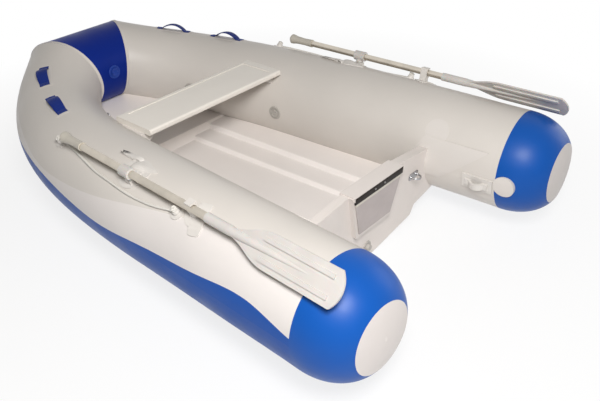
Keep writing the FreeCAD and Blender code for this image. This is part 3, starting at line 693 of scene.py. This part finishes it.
@dataclass(frozen=True)
class Moulded:
    """Moulded plastic or rubber with a fine spark-eroded grain."""

    name: str
    colour: Colour
    roughness: float
    uneven: float = 0.06
    clear: float = 0.0
    specular: float = 0.4

    def make(self) -> Material:
        """Builds the material.

        Returns:
            The material.
        """
        graph = Graph(self.name)
        graph.set(Specular_IOR_Level=self.specular)
        graph.set(Subsurface_Weight=self.clear, Subsurface_Scale=0.004)
        colour = graph.tones(graph.noise(14.0, detail=4.0), self.colour, 1 - self.uneven, 1.02)
        roughness = graph.worn(graph.noise(45.0), self.roughness, below=0.06, above=0.08)
        grain = graph.bump(graph.noise(1100.0, detail=2.0), strength=0.22, depth=0.0003)
        return graph.finish(colour, roughness, grain)


@dataclass(frozen=True)
class Metal:
    """Bare metal with fine lines drawn along X and duller patches."""

    name: str
    colour: Colour
    roughness: float

    def make(self) -> Material:
        """Builds the material.

        Returns:
            The material.
        """
        graph = Graph(self.name)
        graph.set(Metallic=1.0)
        colour = graph.tones(graph.noise(20.0, detail=4.0), self.colour, 0.86, 1.0)
        lines = graph.noise(700.0, stretch=(0.04, 1.0, 1.0))
        roughness = graph.worn(graph.noise(30.0), self.roughness, below=0.06, above=0.10)
        return graph.finish(colour, roughness, graph.bump(lines, strength=0.12, depth=0.0002))


class Weave(Enum):
    """How the threads of a woven piece lie on its own map: the two turns, in degrees."""

    STRAP = (0.0, 90.0)
    BRAID = (45.0, -45.0)


@dataclass(frozen=True)
class Woven:
    """Webbing or rope whose threads follow the piece's own map, with painted shade in the grooves
    between threads and painted light on their crowns.
    """

    name: str
    colour: Colour
    weave: Weave
    along: float
    round_count: float
    roughness: float = 0.75

    def make(self) -> Material:
        """Builds the material.

        Returns:
            The material.
        """
        graph = Graph(self.name)
        graph.set(Specular_IOR_Level=0.2, Sheen_Weight=0.08, Sheen_Roughness=0.5)
        counts = (self.along, self.round_count, 1.0)
        own_map = {"Vector": graph.node("ShaderNodeUVMap").outputs[0], "Scale": counts}
        counted = graph.node("ShaderNodeMapping", own_map).outputs[0]
        waves = {}
        for number, turn in enumerate(self.weave.value):
            spin = {"Vector": counted, "Rotation": (0.0, 0.0, math.radians(turn))}
            spun = graph.node("ShaderNodeMapping", spin).outputs[0]
            wave = {"Vector": spun, "Scale": 1.0, "Distortion": 0.4}
            waves[number] = graph.node("ShaderNodeTexWave", wave).outputs["Fac"]
        thread_relief_and_painted_shade = graph.node("ShaderNodeMath", waves, operation="MULTIPLY").outputs[0]
        # Painted shade and light: the colour goes darker where the weave is low between threads and
        # lighter on the thread crowns.
        colour = graph.tones(thread_relief_and_painted_shade, self.colour, 0.72, 1.06, ends=(0.0, 0.6))
        roughness = graph.worn(graph.noise(60.0), self.roughness, below=0.05, above=0.08)
        return graph.finish(colour, roughness, graph.bump(thread_relief_and_painted_shade, strength=0.5, depth=0.0006))


class Finish(Enum):
    """Every finish on the boat."""

    TUBE = CoatedFabric("tube fabric grey", linear(209, 204, 198))
    PANEL = CoatedFabric("side fabric white", linear(222, 217, 214))
    NOSE = CoatedFabric("nose fabric blue", linear(4, 36, 126), 0.40, 0.10, 0.0, 0.12)
    STERN = CoatedFabric("stern fabric blue", linear(2, 78, 163), 0.42, 0.08, 0.03, 0.25)
    KEEL = CoatedFabric("lower fabric blue", linear(20, 78, 162), 0.42, 0.08, 0.02, 0.18)
    CAP = CoatedFabric("end cap fabric", linear(213, 207, 204))
    PATCH = CoatedFabric("patch fabric grey", linear(212, 207, 202), 0.48)
    HULL = Gelcoat("hull gelcoat", linear(224, 217, 212), 0.38, -0.085)
    LINER = Gelcoat("liner gelcoat", linear(243, 237, 233), 0.34, 0.12)
    SEAT = Gelcoat("bench coat", linear(235, 230, 222), 0.36, 0.05)
    PLATE = Moulded("clamp plate plastic", linear(182, 173, 171), 0.42)
    STRIP = Moulded("clamp strip plastic", linear(208, 203, 192), 0.40)
    BLACK = Moulded("strip plastic dark", linear(33, 27, 23), 0.50, specular=0.2)
    SCREW = Metal("screw steel", linear(150, 148, 146), 0.35)
    FITTING = Moulded("fitting rubber grey", linear(214, 210, 205), 0.50)
    VALVE = Moulded("valve plastic grey", linear(178, 174, 168), 0.44)
    NOSE_VALVE = Moulded("valve plastic blue", linear(30, 62, 150), 0.42, specular=0.3)
    BLADE = Moulded("blade plastic", linear(202, 198, 194), 0.40, uneven=0.05, clear=0.15)
    GRIP = Moulded("grip plastic", linear(192, 187, 176), 0.46)
    ALLOY = Metal("oar alloy", linear(204, 196, 183), 0.40)
    STEEL = Metal("eye steel", linear(178, 178, 180), 0.25)
    WEBBING = Woven("webbing blue", linear(16, 42, 122), Weave.STRAP, 26.0, 6.0)
    THREAD = Moulded("stitching thread", linear(52, 78, 156), 0.7, specular=0.2)
    ROPE = Woven("rope white", linear(236, 233, 226), Weave.BRAID, 60.0, 2.0)

    def made(self) -> Material:
        """This finish's material, built the first time it is asked for."""
        return bpy.data.materials.get(self.value.name) or self.value.make()


# The studio


@dataclass(frozen=True)
class Studio:
    """Camera, lamps, world and floor."""

    eye: Vector = Vector((-2.07315, 1.98454, 1.81455))
    look_at: Vector = Vector((0.17833, -0.60152, -0.36758))
    roll: float = math.radians(-1.312)
    lens: float = 44.46
    sensor: float = 36.0
    sight: float = 200.0
    lamps_face: Vector = Vector((0.0, 0.0, 0.3))
    lamp_tint: Colour = (1.0, 0.985, 0.97)
    sky_tint: tuple[float, ...] = (1.0, 0.945, 0.87, 1.0)
    sky_strength: float = 0.125
    white: tuple[float, ...] = (1.0, 1.0, 1.0, 1.0)
    floor_paint: tuple[float, ...] = (0.90, 0.90, 0.90, 1.0)
    floor_size: float = 60.0
    floor_drop: float = 0.001
    glow_share: float = 0.82
    shade_reach: float = 1.2
    white_reach: float = 2.4

    def camera(self) -> None:
        """Places the camera where the photographer stood."""
        data = bpy.data.cameras.new("camera")
        data.lens, data.sensor_width, data.sensor_fit = self.lens, self.sensor, "HORIZONTAL"
        data.clip_end = self.sight
        camera = in_scene("camera", data)
        level = facing(self.eye - self.look_at, self.eye)
        camera.matrix_world = level @ Matrix.Rotation(self.roll, 4, "Z")
        bpy.context.scene.camera = camera

    def lamp(self, name: str, where: Vector, size: float, power: float) -> None:
        """Adds a soft square lamp that faces the boat.

        Args:
            name: The lamp's name.
            where: Its place.
            size: Length of its side.
            power: Its power in watts.
        """
        data = bpy.data.lights.new(name, "AREA")
        data.size, data.energy, data.color = size, power, self.lamp_tint
        in_scene(name, data).matrix_world = facing(where - self.lamps_face, where)

    def world(self) -> None:
        """A white background over a softer light from all round."""
        world = bpy.data.worlds.new("studio")
        tree = Tree(world)
        light = tree.nodes["Background"]
        tree.feed(light, {"Color": self.sky_tint, "Strength": self.sky_strength})
        white = tree.node("ShaderNodeBackground", {"Color": self.white})
        tree.show_mix(tree.direct_rays(), light, white, "World Output")
        bpy.context.scene.world = world

    def floor(self) -> None:
        """A pale floor that shows nearly white and keeps the boat's shadow."""
        floor = started(
            "floor", bpy.ops.mesh.primitive_plane_add,
            size=self.floor_size, location=(0, 0, -self.floor_drop),
        )
        paint = Graph("floor paint")
        paint.set(Base_Color=self.floor_paint, Roughness=0.9, Specular_IOR_Level=0.1)
        glow = paint.node("ShaderNodeEmission")
        away = paint.node("ShaderNodeVectorMath", {0: paint.object_space}, operation="LENGTH")
        limits = (self.shade_reach, self.white_reach, self.glow_share, 1.0)
        pair = {0: paint.direct_rays(), 1: paint.mapped(away.outputs["Value"], *limits)}
        share = paint.node("ShaderNodeMath", pair, operation="MULTIPLY").outputs[0]
        paint.show_mix(share, paint.shader, glow, "Material Output")
        floor.data.materials.append(paint.material)

    def build(self) -> None:
        """Sets up the whole studio."""
        self.camera()
        self.world()
        self.floor()
        self.lamp("key", where=Vector((-2.2, 1.8, 2.7)), size=0.9, power=124.0)
        self.lamp("fill", where=Vector((-1.8, -3.2, 1.3)), size=1.8, power=20.0)
        bpy.context.scene.view_settings.view_transform = "Standard"


# Pieces


def coat(item: Object, finish: Finish) -> None:
    """Gives an object its finish.

    Args:
        item: The object.
        finish: Its finish.
    """
    item.data.materials.clear()
    item.data.materials.append(finish.made())
    log.info("%s in %s", item.name, finish.value.name)


def dress(item: Object, finish: Finish, replaces: Sequence[str] = ()) -> None:
    """Gives a piece of the boat its finish, hides the solids that it stands for and hangs it on the
    boat's body.

    Args:
        item: The piece.
        finish: Its finish.
        replaces: The solids that it stands for.
    """
    coat(item, finish)
    if replaces:
        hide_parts(*replaces)
    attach(item, "boat")


@dataclass(frozen=True)
class Lifelines:
    """The ropes along the tubes, with a knot at each end."""

    radius: float = 0.005
    knot_size: float = 0.0062
    knot_lift: float = 0.0245
    knot_points: int = 24
    knot_swell: float = 0.45
    knot_depth: float = 0.55
    knot_strand: float = 0.9
    ends: tuple[tuple[float, float], ...] = ((1.05006, 53.5), (0.320, 53.5))
    route: tuple[tuple[float, float, float], ...] = (
        (0.32740, 0.64303, 0.47085), (0.27902, 0.64445, 0.47520), (0.22197, 0.65825, 0.47118),
        (0.14092, 0.67436, 0.46651), (0.04744, 0.69384, 0.45804), (-0.04882, 0.70363, 0.45637),
        (-0.14098, 0.71343, 0.45181), (-0.23086, 0.71645, 0.45341), (-0.30780, 0.71494, 0.45863),
        (-0.36378, 0.70814, 0.46706), (-0.41239, 0.70230, 0.47357),
    )

    def points(self, side: Side) -> list[Vector]:
        """The route's points on one side."""
        return [side.place(Vector(point)) for point in self.route]

    @staticmethod
    def strand(name: str, points: Sequence[Sequence[float]], radius: float, steps: int) -> Object:
        """A smooth curve with a round section.

        Args:
            name: Its name.
            points: The control points.
            radius: Radius of the section.
            steps: Blender's resolution of the section.

        Returns:
            The curve.
        """
        data = bpy.data.curves.new(name, "CURVE")
        data.dimensions, data.bevel_depth, data.bevel_resolution = "3D", radius, steps
        spline = data.splines.new("NURBS")
        spline.points.add(len(points) - 1)
        for target, point in zip(spline.points, points):
            target.co = (*point, 1.0)
        return in_scene(name, data)

    def length(self, rope: Object) -> float:
        """The curve's own length."""
        return sum(spline.calc_length() for spline in rope.data.splines)

    def knot(self, name: str, centre: Vector, outward: Vector) -> Object:
        """An overhand knot pulled tight against its boss.

        Args:
            name: The knot's name.
            centre: Its middle.
            outward: The direction that its flat side faces.

        Returns:
            The knot's mesh.
        """
        loops = []
        for index in range(self.knot_points):
            turn = 2 * math.pi * index / self.knot_points
            reach = self.knot_size * (math.cos(3 * turn) * self.knot_swell + 1.0)
            height = self.knot_size * self.knot_depth * math.sin(3 * turn)
            loops.append((reach * math.cos(2 * turn), reach * math.sin(2 * turn), height))
        strand = self.strand(name, loops, self.radius * self.knot_strand, 2)
        strand.data.splines[0].use_cyclic_u = True
        only(strand)
        bpy.ops.object.convert(target="MESH")
        knot = named(name)
        settle(knot, facing(outward, centre, up="X"))
        smooth(knot, 60)
        return knot

    def build(self) -> None:
        """Both ropes and their knots."""
        for side in Side:
            rope = self.strand(f"lifeline_rope_{side.word}", self.points(side), self.radius, 3)
            rope.data.resolution_u = 10
            rope.data.use_fill_caps = True
            rope.data.splines[0].order_u = 3
            rope.data.splines[0].use_endpoint_u = True
            for word, (station, angle) in zip(("forward", "aft"), self.ends):
                place = LINE.skin(station, angle, self.knot_lift)
                outward = side.place(place.col[2].to_3d())
                name = f"rope_knot_{word}_{side.word}"
                knot = self.knot(name, side.place(place.translation), outward)
                dress(knot, Finish.ROPE)
            dress(rope, Finish.ROPE, [f"lifeline_{side.word}"])
            self.length(rope)


def patch(
    name: str, length: float, width: float, thickness: float, squareness: float, rows: int
) -> Object:
    """A thin glued piece, modelled flat from a grid so that it can follow the skin.

    Args:
        name: Its name.
        length: Its length along the tube.
        width: Its width round the tube.
        thickness: Its thickness.
        squareness: 2 for an ellipse, more for a rectangle with tighter corners.
        rows: Rows of faces across the width.

    Returns:
        The patch, its underside at height 0.
    """
    along = max(rows, round(rows * length / width / 2))
    grid = bpy.ops.mesh.primitive_grid_add
    item = started(name, grid, x_subdivisions=along, y_subdivisions=rows, size=2.0)
    for vertex in item.data.vertices:
        u, v = vertex.co.x, vertex.co.y
        rim = max(abs(u), abs(v))
        if rim > 0:
            bulge = abs(u / rim) ** squareness + abs(v / rim) ** squareness
            shrink = bulge ** (-1 / squareness)
            u, v = u * shrink, v * shrink
        vertex.co = Vector((u * length / 2, v * width / 2, 0.0))
    modify(item, "SOLIDIFY", thickness=thickness, offset=1.0)
    smooth(item)
    return item


def on_both_sides(item: Object, finish: Finish, replaces: str = "") -> None:
    """Dresses a port piece of the boat and makes its starboard twin.

    Args:
        item: The port piece, its name ending in port.
        finish: Its finish.
        replaces: The node that each stands for, without its side.
    """
    other = twin(item, item.name.replace("port", "starboard"))
    for piece, side in ((item, Side.PORT), (other, Side.STARBOARD)):
        names = [f"{replaces}_{side.word}"] if replaces else []
        dress(piece, finish, names)


@dataclass(frozen=True)
class GrabHandles:
    """Webbing handles on top of the tubes: an arched strap on a light patch a little larger."""

    stations: tuple[float, ...] = (1.2964, 1.5655)
    angle: float = 79.0
    length: float = 0.176
    rise: float = 0.026
    fullness: float = 0.8
    crown: float = 0.0012
    width: float = 0.044
    thickness: float = 0.0024
    edge: float = 0.0007
    foot: float = 0.026
    margin: float = 0.012
    patch_thickness: float = 0.0014
    sewn_share: float = 0.36
    thread_width: float = 0.0012
    thread_height: float = 0.0008
    thread_lift: float = 0.0003

    def strap(self) -> Object:
        """The arched strap, modelled flat from a grid and raised along its length.

        Returns:
            The strap about the origin, with its feet on the patch.
        """
        grid = bpy.ops.mesh.primitive_grid_add
        strap = started("grab_strap", grid, x_subdivisions=40, y_subdivisions=6, size=1.0)
        inner = self.length / 2 - self.foot
        for vertex in strap.data.vertices:
            x, y = vertex.co.x * self.length, vertex.co.y * self.width
            lift = 0.0
            if abs(x) < inner:
                arch = math.sin(math.pi / 2 * (1 - abs(x) / inner))
                lift = self.rise * arch**self.fullness
            crown = self.crown * math.cos(math.pi * vertex.co.y) * (lift / self.rise)
            vertex.co = Vector((x, y, lift + crown + self.patch_thickness))
        modify(strap, "SOLIDIFY", thickness=self.thickness, offset=1.0)
        rounded(strap, self.edge, 2, 50, crease=50)
        return strap

    def stitches(self) -> Object:
        """The box of thread sewn through each foot of a strap.

        Returns:
            The threads about the origin, raised a little over the webbing.
        """
        threads = []
        height = self.patch_thickness + self.thickness + self.thread_lift
        foot_middle = self.length / 2 - self.foot / 2
        box = (self.foot * self.sewn_share, self.width * self.sewn_share)
        for end in (-1, 1):
            foot = Matrix.Translation((end * foot_middle, 0.0, height))
            for turn, (reach, half) in ((0.0, box), (90.0, box[::-1])):
                spun = Matrix.Rotation(math.radians(turn), 4, "Z")
                for row in (-1, 1):
                    sizes = (2 * reach, self.thread_width, self.thread_height)
                    thread = block("grab_thread", sizes)
                    edit(thread, lambda: bpy.ops.mesh.subdivide(number_cuts=4))
                    shift = Matrix.Translation((0.0, row * half, 0.0))
                    thread.data.transform(foot @ spun @ shift)
                    threads.append(thread)
        return joined("grab_stitches", threads)

    def build(self) -> None:
        """The four handles, their patches and their stitches."""
        length, width = self.length + 2 * self.margin, self.width + 2 * self.margin
        handles = []
        for station in self.stations:
            strap = self.strap()
            base = patch("grab_base", length, width, self.patch_thickness, 12.0, rows=10)
            handles.append((strap, base, self.stitches()))
            for item in handles[-1]:
                LINE.wrap(item, station, self.angle)
        straps, bases, threads = zip(*handles)
        straps_port = joined("grab_straps_port", straps)
        on_both_sides(straps_port, Finish.WEBBING, "grab_handles")
        on_both_sides(joined("grab_bases_port", bases), Finish.PATCH)
        on_both_sides(joined("grab_stitches_port", threads), Finish.THREAD)


@dataclass(frozen=True)
class OarSeats:
    """Moulded rubber round the rowlocks and clips: a ribbed leaf, a rope lug and the clip's tab."""

    leaf_station: float = 0.584
    leaf_angle: float = 77.0
    leaf_length: float = 0.124
    leaf_width: float = 0.078
    leaf_thickness: float = 0.003
    leaf_rise: float = 0.011
    leaf_crest: tuple[float, float] = (0.45, 0.35)
    leaf_spread: float = 0.55
    leaf_rib: float = 0.0011
    leaf_ribs: int = 7
    leaf_tip: float = 0.24
    leaf_flare: float = 0.38
    leaf_drift: float = 0.006
    leaf_edge: float = 0.0008
    lug_station: float = 0.650
    lug_angle: float = 80.5
    lug_turn: float = 8.0
    lug_length: float = 0.052
    lug_radius: float = 0.0042
    lug_widening: float = 2.4
    lug_flattening: float = 0.42
    tab_station: float = 0.222
    tab_angle: float = 58.0
    tab_turn: float = 14.0
    tab_length: float = 0.056
    tab_reach: float = 0.124
    tab_thickness: float = 0.0052
    tab_rib: float = 0.0010
    tab_ribs: int = 6
    tab_edge: float = 0.0012

    def leaf(self) -> Object:
        """The leaf behind the rowlock: pointed aft, high near its fore end, with shallow ribs.

        Returns:
            The port leaf.
        """
        thickness = self.leaf_thickness
        leaf = patch("rowlock_leaf_port", self.leaf_length, self.leaf_width, thickness, 3.0, 34)
        along, across = self.leaf_crest
        for vertex in leaf.data.vertices:
            u, v = 2 * vertex.co.x / self.leaf_length, 2 * vertex.co.y / self.leaf_width
            inside = max(0.0, 1 - u * u) * max(0.0, 1 - v * v)
            if vertex.co.z > thickness / 2:
                crest = math.exp(-((u - along) ** 2 + (v - across) ** 2) / self.leaf_spread)
                ribs = self.leaf_rib * math.cos(self.leaf_ribs * math.pi * v / 2) ** 2
                vertex.co.z += min(1.0, 3 * inside) * (self.leaf_rise * crest + ribs)
            vertex.co.y *= self.leaf_tip + self.leaf_flare * (1 + u)
            vertex.co.y += self.leaf_drift * (1 + u)
        rounded(leaf, self.leaf_edge, 2, 50, crease=45)
        LINE.wrap(leaf, self.leaf_station, self.leaf_angle)
        return leaf

    def lug(self) -> Object:
        """The small rubber arch ahead of the leaf, half a ring pressed flat on its foot.

        Returns:
            The port lug.
        """
        lug = started(
            "rope_lug_port", bpy.ops.mesh.primitive_torus_add, major_segments=36,
            minor_segments=12, major_radius=self.lug_length / 2, minor_radius=self.lug_radius,
        )
        lower = {"plane_co": (0, 0, 0), "plane_no": (0, 1, 0), "clear_inner": True}
        edit(lug, lambda: bpy.ops.mesh.bisect(use_fill=True, **lower))
        lug.data.transform(Matrix.Rotation(math.radians(90), 4, "X"))
        lug.data.transform(Matrix.Diagonal((1.0, self.lug_widening, self.lug_flattening, 1.0)))
        smooth(lug, 50)
        LINE.wrap(lug, self.lug_station, self.lug_angle, self.lug_turn)
        return lug

    def tab(self) -> Object:
        """The clip's long tab, which runs round the tube under the shaft.

        Returns:
            The port tab.
        """
        thickness = self.tab_thickness
        tab = patch("oar_clip_tab_port", self.tab_length, self.tab_reach, thickness, 5.0, 24)
        for vertex in tab.data.vertices:
            if vertex.co.z > thickness / 2:
                v = 2 * vertex.co.y / self.tab_reach
                wave = math.cos(self.tab_ribs * math.pi * v)
                vertex.co.z += self.tab_rib * wave * (1 - abs(v))
        rounded(tab, self.tab_edge, 2, 50, crease=45)
        LINE.wrap(tab, self.tab_station, self.tab_angle, self.tab_turn)
        return tab

    def build(self) -> None:
        """All of it on both sides."""
        for item in (self.leaf(), self.lug(), self.tab()):
            on_both_sides(item, Finish.FITTING)


@dataclass(frozen=True)
class Valves:
    """Air valves: a flanged ring, a recess and a ribbed cap that screws into it."""

    stations: tuple[float, ...] = (0.849597, 1.391369)
    angle: float = 183.0
    nose_angle: float = 175.0
    flange_radius: float = 0.032
    flange_height: float = 0.004
    flange_depth: float = 0.004
    flange_edge: float = 0.0012
    recess_radius: float = 0.024
    recess_depth: float = 0.0022
    cap_radius: float = 0.020
    cap_height: float = 0.0075
    cap_edge: float = 0.0006
    cap_rim: float = 0.0035
    dish_depth: float = 0.0025
    ribs: int = 20
    rib_depth: float = 0.045
    bar_sizes: tuple[float, ...] = (0.030, 0.006, 0.0045)
    bar_sink: float = 0.001

    def flange(self) -> Object:
        """The ring: a disc with a rounded rim, inset and pushed down for the cap.

        Returns:
            The ring.
        """
        radius = self.flange_radius
        flange = drum("valve_flange", 64, radius, -self.flange_depth, self.flange_height)
        sink_top(flange, radius - self.recess_radius, self.recess_depth)
        rounded(flange, self.flange_edge, 3, 40)
        return flange

    def cap(self) -> Object:
        """The cap, its side pulled in between grip ribs and its top dished with a thumb bar.

        Returns:
            The cap.
        """
        foot = self.flange_height - self.recess_depth
        top = foot + self.cap_height
        cap = drum("valve_cap", self.ribs * 4, self.cap_radius, foot, top)
        for vertex in cap.data.vertices:
            turn = math.atan2(vertex.co.y, vertex.co.x) * self.ribs
            pull = 1 - self.rib_depth * (1 - math.cos(turn)) / 2
            vertex.co.x, vertex.co.y = vertex.co.x * pull, vertex.co.y * pull
        sink_top(cap, self.cap_rim, self.dish_depth)
        bar = block("valve_bar", self.bar_sizes, (0, 0, top - self.bar_sink))
        rounded(bar, self.flange_edge)
        rounded(cap, self.cap_edge, 2, 40)
        return joined("valve_cap", [cap, bar])

    def built(self, name: str, place: Matrix) -> Object:
        """One whole valve.

        Args:
            name: Its name.
            place: Its place on the skin.

        Returns:
            The valve.
        """
        valve = joined(name, [self.flange(), self.cap()])
        settle(valve, place)
        return valve

    def build(self) -> None:
        """Two valves in each tube and one in the nose."""
        grey = []
        for station in self.stations:
            port = self.built("valve_port", LINE.skin(station, self.angle))
            grey += [port, twin(port, "valve_starboard")]
        outward = LINE.direction(0.0, self.nose_angle)
        middle = Vector((LINE.nose_x, 0.0, LINE.height + LINE.nose_lift))
        place = facing(outward, middle + outward * LINE.nose_radius)
        nose = self.built("valve_nose", place)
        dress(joined("valves_of_tubes", grey), Finish.VALVE, ["valves"])
        dress(nose, Finish.NOSE_VALVE, ["valves"])


@dataclass(frozen=True)
class Patches:
    """Glued fabric on the tubes: round patches by the transom and tapes along the nose seams."""

    disc_station: float = 0.017
    disc_angle: float = 145.0
    disc_radius: float = 0.052
    disc_thickness: float = 0.0016
    tape_width: float = 0.016
    tape_thickness: float = 0.0010

    def disc(self) -> Object:
        """The round patch over the join of tube and transom.

        Returns:
            The port patch.
        """
        width = 2 * self.disc_radius
        disc = patch("round_patch_port", width, width, self.disc_thickness, 2.0, rows=24)
        LINE.wrap(disc, self.disc_station, self.disc_angle)
        return disc

    def tape(self) -> Object:
        """The tape on the nose panel, along its mitre with the port tube.

        Returns:
            The port tape.
        """
        tape = started(
            "nose_tape_port", bpy.ops.mesh.primitive_cylinder_add,
            vertices=96, radius=LINE.nose_radius, depth=1.0, end_fill_type="NOTHING",
        )
        centre = LINE.poles()[3]
        mitre = (LINE.end_tangent - Vector((0, 1, 0))).normalized()
        for vertex in tape.data.vertices:
            inner = 0.0 if vertex.co.z > 0 else self.tape_width
            around = Vector((vertex.co.x, 0.0, vertex.co.y))
            seam = -(mitre.x * around.x + mitre.z * around.z) / mitre.y
            vertex.co = centre + around + Vector((0, seam - inner, 0))
        edit(tape, lambda: bpy.ops.mesh.normals_make_consistent(inside=False))
        modify(tape, "SOLIDIFY", thickness=self.tape_thickness, offset=1.0, use_rim=True)
        smooth(tape, 40)
        return tape

    def build(self) -> None:
        """All of them on both sides."""
        on_both_sides(self.disc(), Finish.PATCH)
        on_both_sides(self.tape(), Finish.PATCH)


@dataclass(frozen=True)
class CrestTrim:
    """The dark strip down the transom's aft face from its cap, and the light one under it."""

    rake: float = math.radians(4.5)
    top: Vector = Vector((-0.7453, 0.0, 0.3795))
    strip_height: float = 0.028
    strip_half_width: float = 0.153
    strip_thickness: float = 0.0022
    strip_edge: float = 0.0009
    light_height: float = 0.013
    light_half_width: float = 0.146
    light_thickness: float = 0.0008
    inset: float = 0.004
    screw_spacing: float = 0.060
    screw_radius: float = 0.0042
    screw_height: float = 0.003
    screw_edge: float = 0.0007
    recess_rim: float = 0.55
    recess_depth: float = 0.0009

    def bar(self, name: str, drop: float, height: float, half_width: float, lift: float) -> Object:
        """A bevelled strip across the transom, raked with it.

        Args:
            name: Its name.
            drop: Distance of its upper edge below the crest, down the face.
            height: Its height down the face.
            half_width: Half its length across the boat.
            lift: How far its outer face stands aft of the cap's lip.

        Returns:
            The strip.
        """
        thickness = self.strip_thickness + self.inset
        middle = (thickness / 2 - lift, 0, -drop - height / 2)
        bar = block(name, (thickness, 2 * half_width, height), middle)
        rounded(bar, self.strip_edge)
        settle(bar, self.place())
        return bar

    def place(self) -> Matrix:
        """Frame on the cap's aft edge, with Z up the raked face."""
        return Matrix.Translation(self.top) @ Matrix.Rotation(-self.rake, 4, "Y")

    def screw(self, shift: float) -> Object:
        """A pan-head screw with a round recess pressed in its head.

        Args:
            shift: Its distance from the centre line, positive to port.

        Returns:
            The screw.
        """
        half = self.screw_height / 2
        screw = drum("cap_screw", 24, self.screw_radius, -half, half)
        press = {"thickness": self.screw_radius * self.recess_rim, "depth": -self.recess_depth}
        edit(screw, lambda: bpy.ops.mesh.inset(**press), top_only=True)
        rounded(screw, self.screw_edge, 2, 40)
        aft = Matrix.Rotation(math.radians(-90), 4, "Y")
        spot = Matrix.Translation((-self.strip_thickness, shift, -self.strip_height / 2))
        settle(screw, self.place() @ spot @ aft)
        return screw

    def build(self) -> None:
        """The strips and the screws."""
        wide, thick = self.strip_half_width, self.strip_thickness
        dark = self.bar("cap_strip", 0.0, self.strip_height, wide, thick)
        dress(dark, Finish.BLACK)
        narrow, thin = self.light_half_width, self.light_thickness
        light = self.bar("plate_strip", self.strip_height, self.light_height, narrow, thin)
        dress(light, Finish.STRIP)
        half = self.screw_spacing / 2
        screws = [self.screw(shift) for shift in (-half, half)]
        dress(joined("cap_screws", screws), Finish.SCREW)


@dataclass(frozen=True)
class PlainNodes:
    """The solids whose shape is right as it is: each finish and its nodes, less the side."""

    finishes: tuple[tuple[Finish, str], ...] = (
        (Finish.HULL, "hull transom motor_pad transom_cap"),
        (Finish.LINER, "deck_liner bow_deck"),
        (Finish.PLATE, "motor_plate"),
        (Finish.STEEL, "tow_eyes deck_eye stem_eye"),
        (Finish.VALVE, "drain_plug"),
        (Finish.NOSE, "tube_nose"),
        (Finish.TUBE, "tube_top"),
        (Finish.PANEL, "tube_side_panel"),
        (Finish.KEEL, "tube_lower_panel"),
        (Finish.STERN, "stern_cone"),
        (Finish.CAP, "end_cap"),
        (Finish.SEAT, "seat"),
        (Finish.PATCH, "seat_holders seam_discs transom_gussets"),
        (Finish.FITTING, "carry_handles lifeline_anchors rowlock oar_clip"),
        (Finish.ALLOY, "oar_shaft"),
        (Finish.GRIP, "oar_grip"),
        (Finish.BLADE, "oar_blade oar_collar"),
    )

    def build(self) -> None:
        """Gives every plain node its finish."""
        chosen = {name: finish for finish, names in self.finishes for name in names.split()}
        for node, solid in NODES.items():
            finish = chosen.get(node.removesuffix("_port").removesuffix("_starboard"))
            if finish is not None:
                coat(solid, finish)


def main() -> None:
    """Builds the studio and every piece."""
    logging.basicConfig(level=logging.INFO, format="%(name)s: %(message)s")
    Studio().build()
    Lifelines().build()
    PlainNodes().build()
    GrabHandles().build()
    OarSeats().build()
    Valves().build()
    Patches().build()
    CrestTrim().build()


if __name__ == "__main__":
    main()
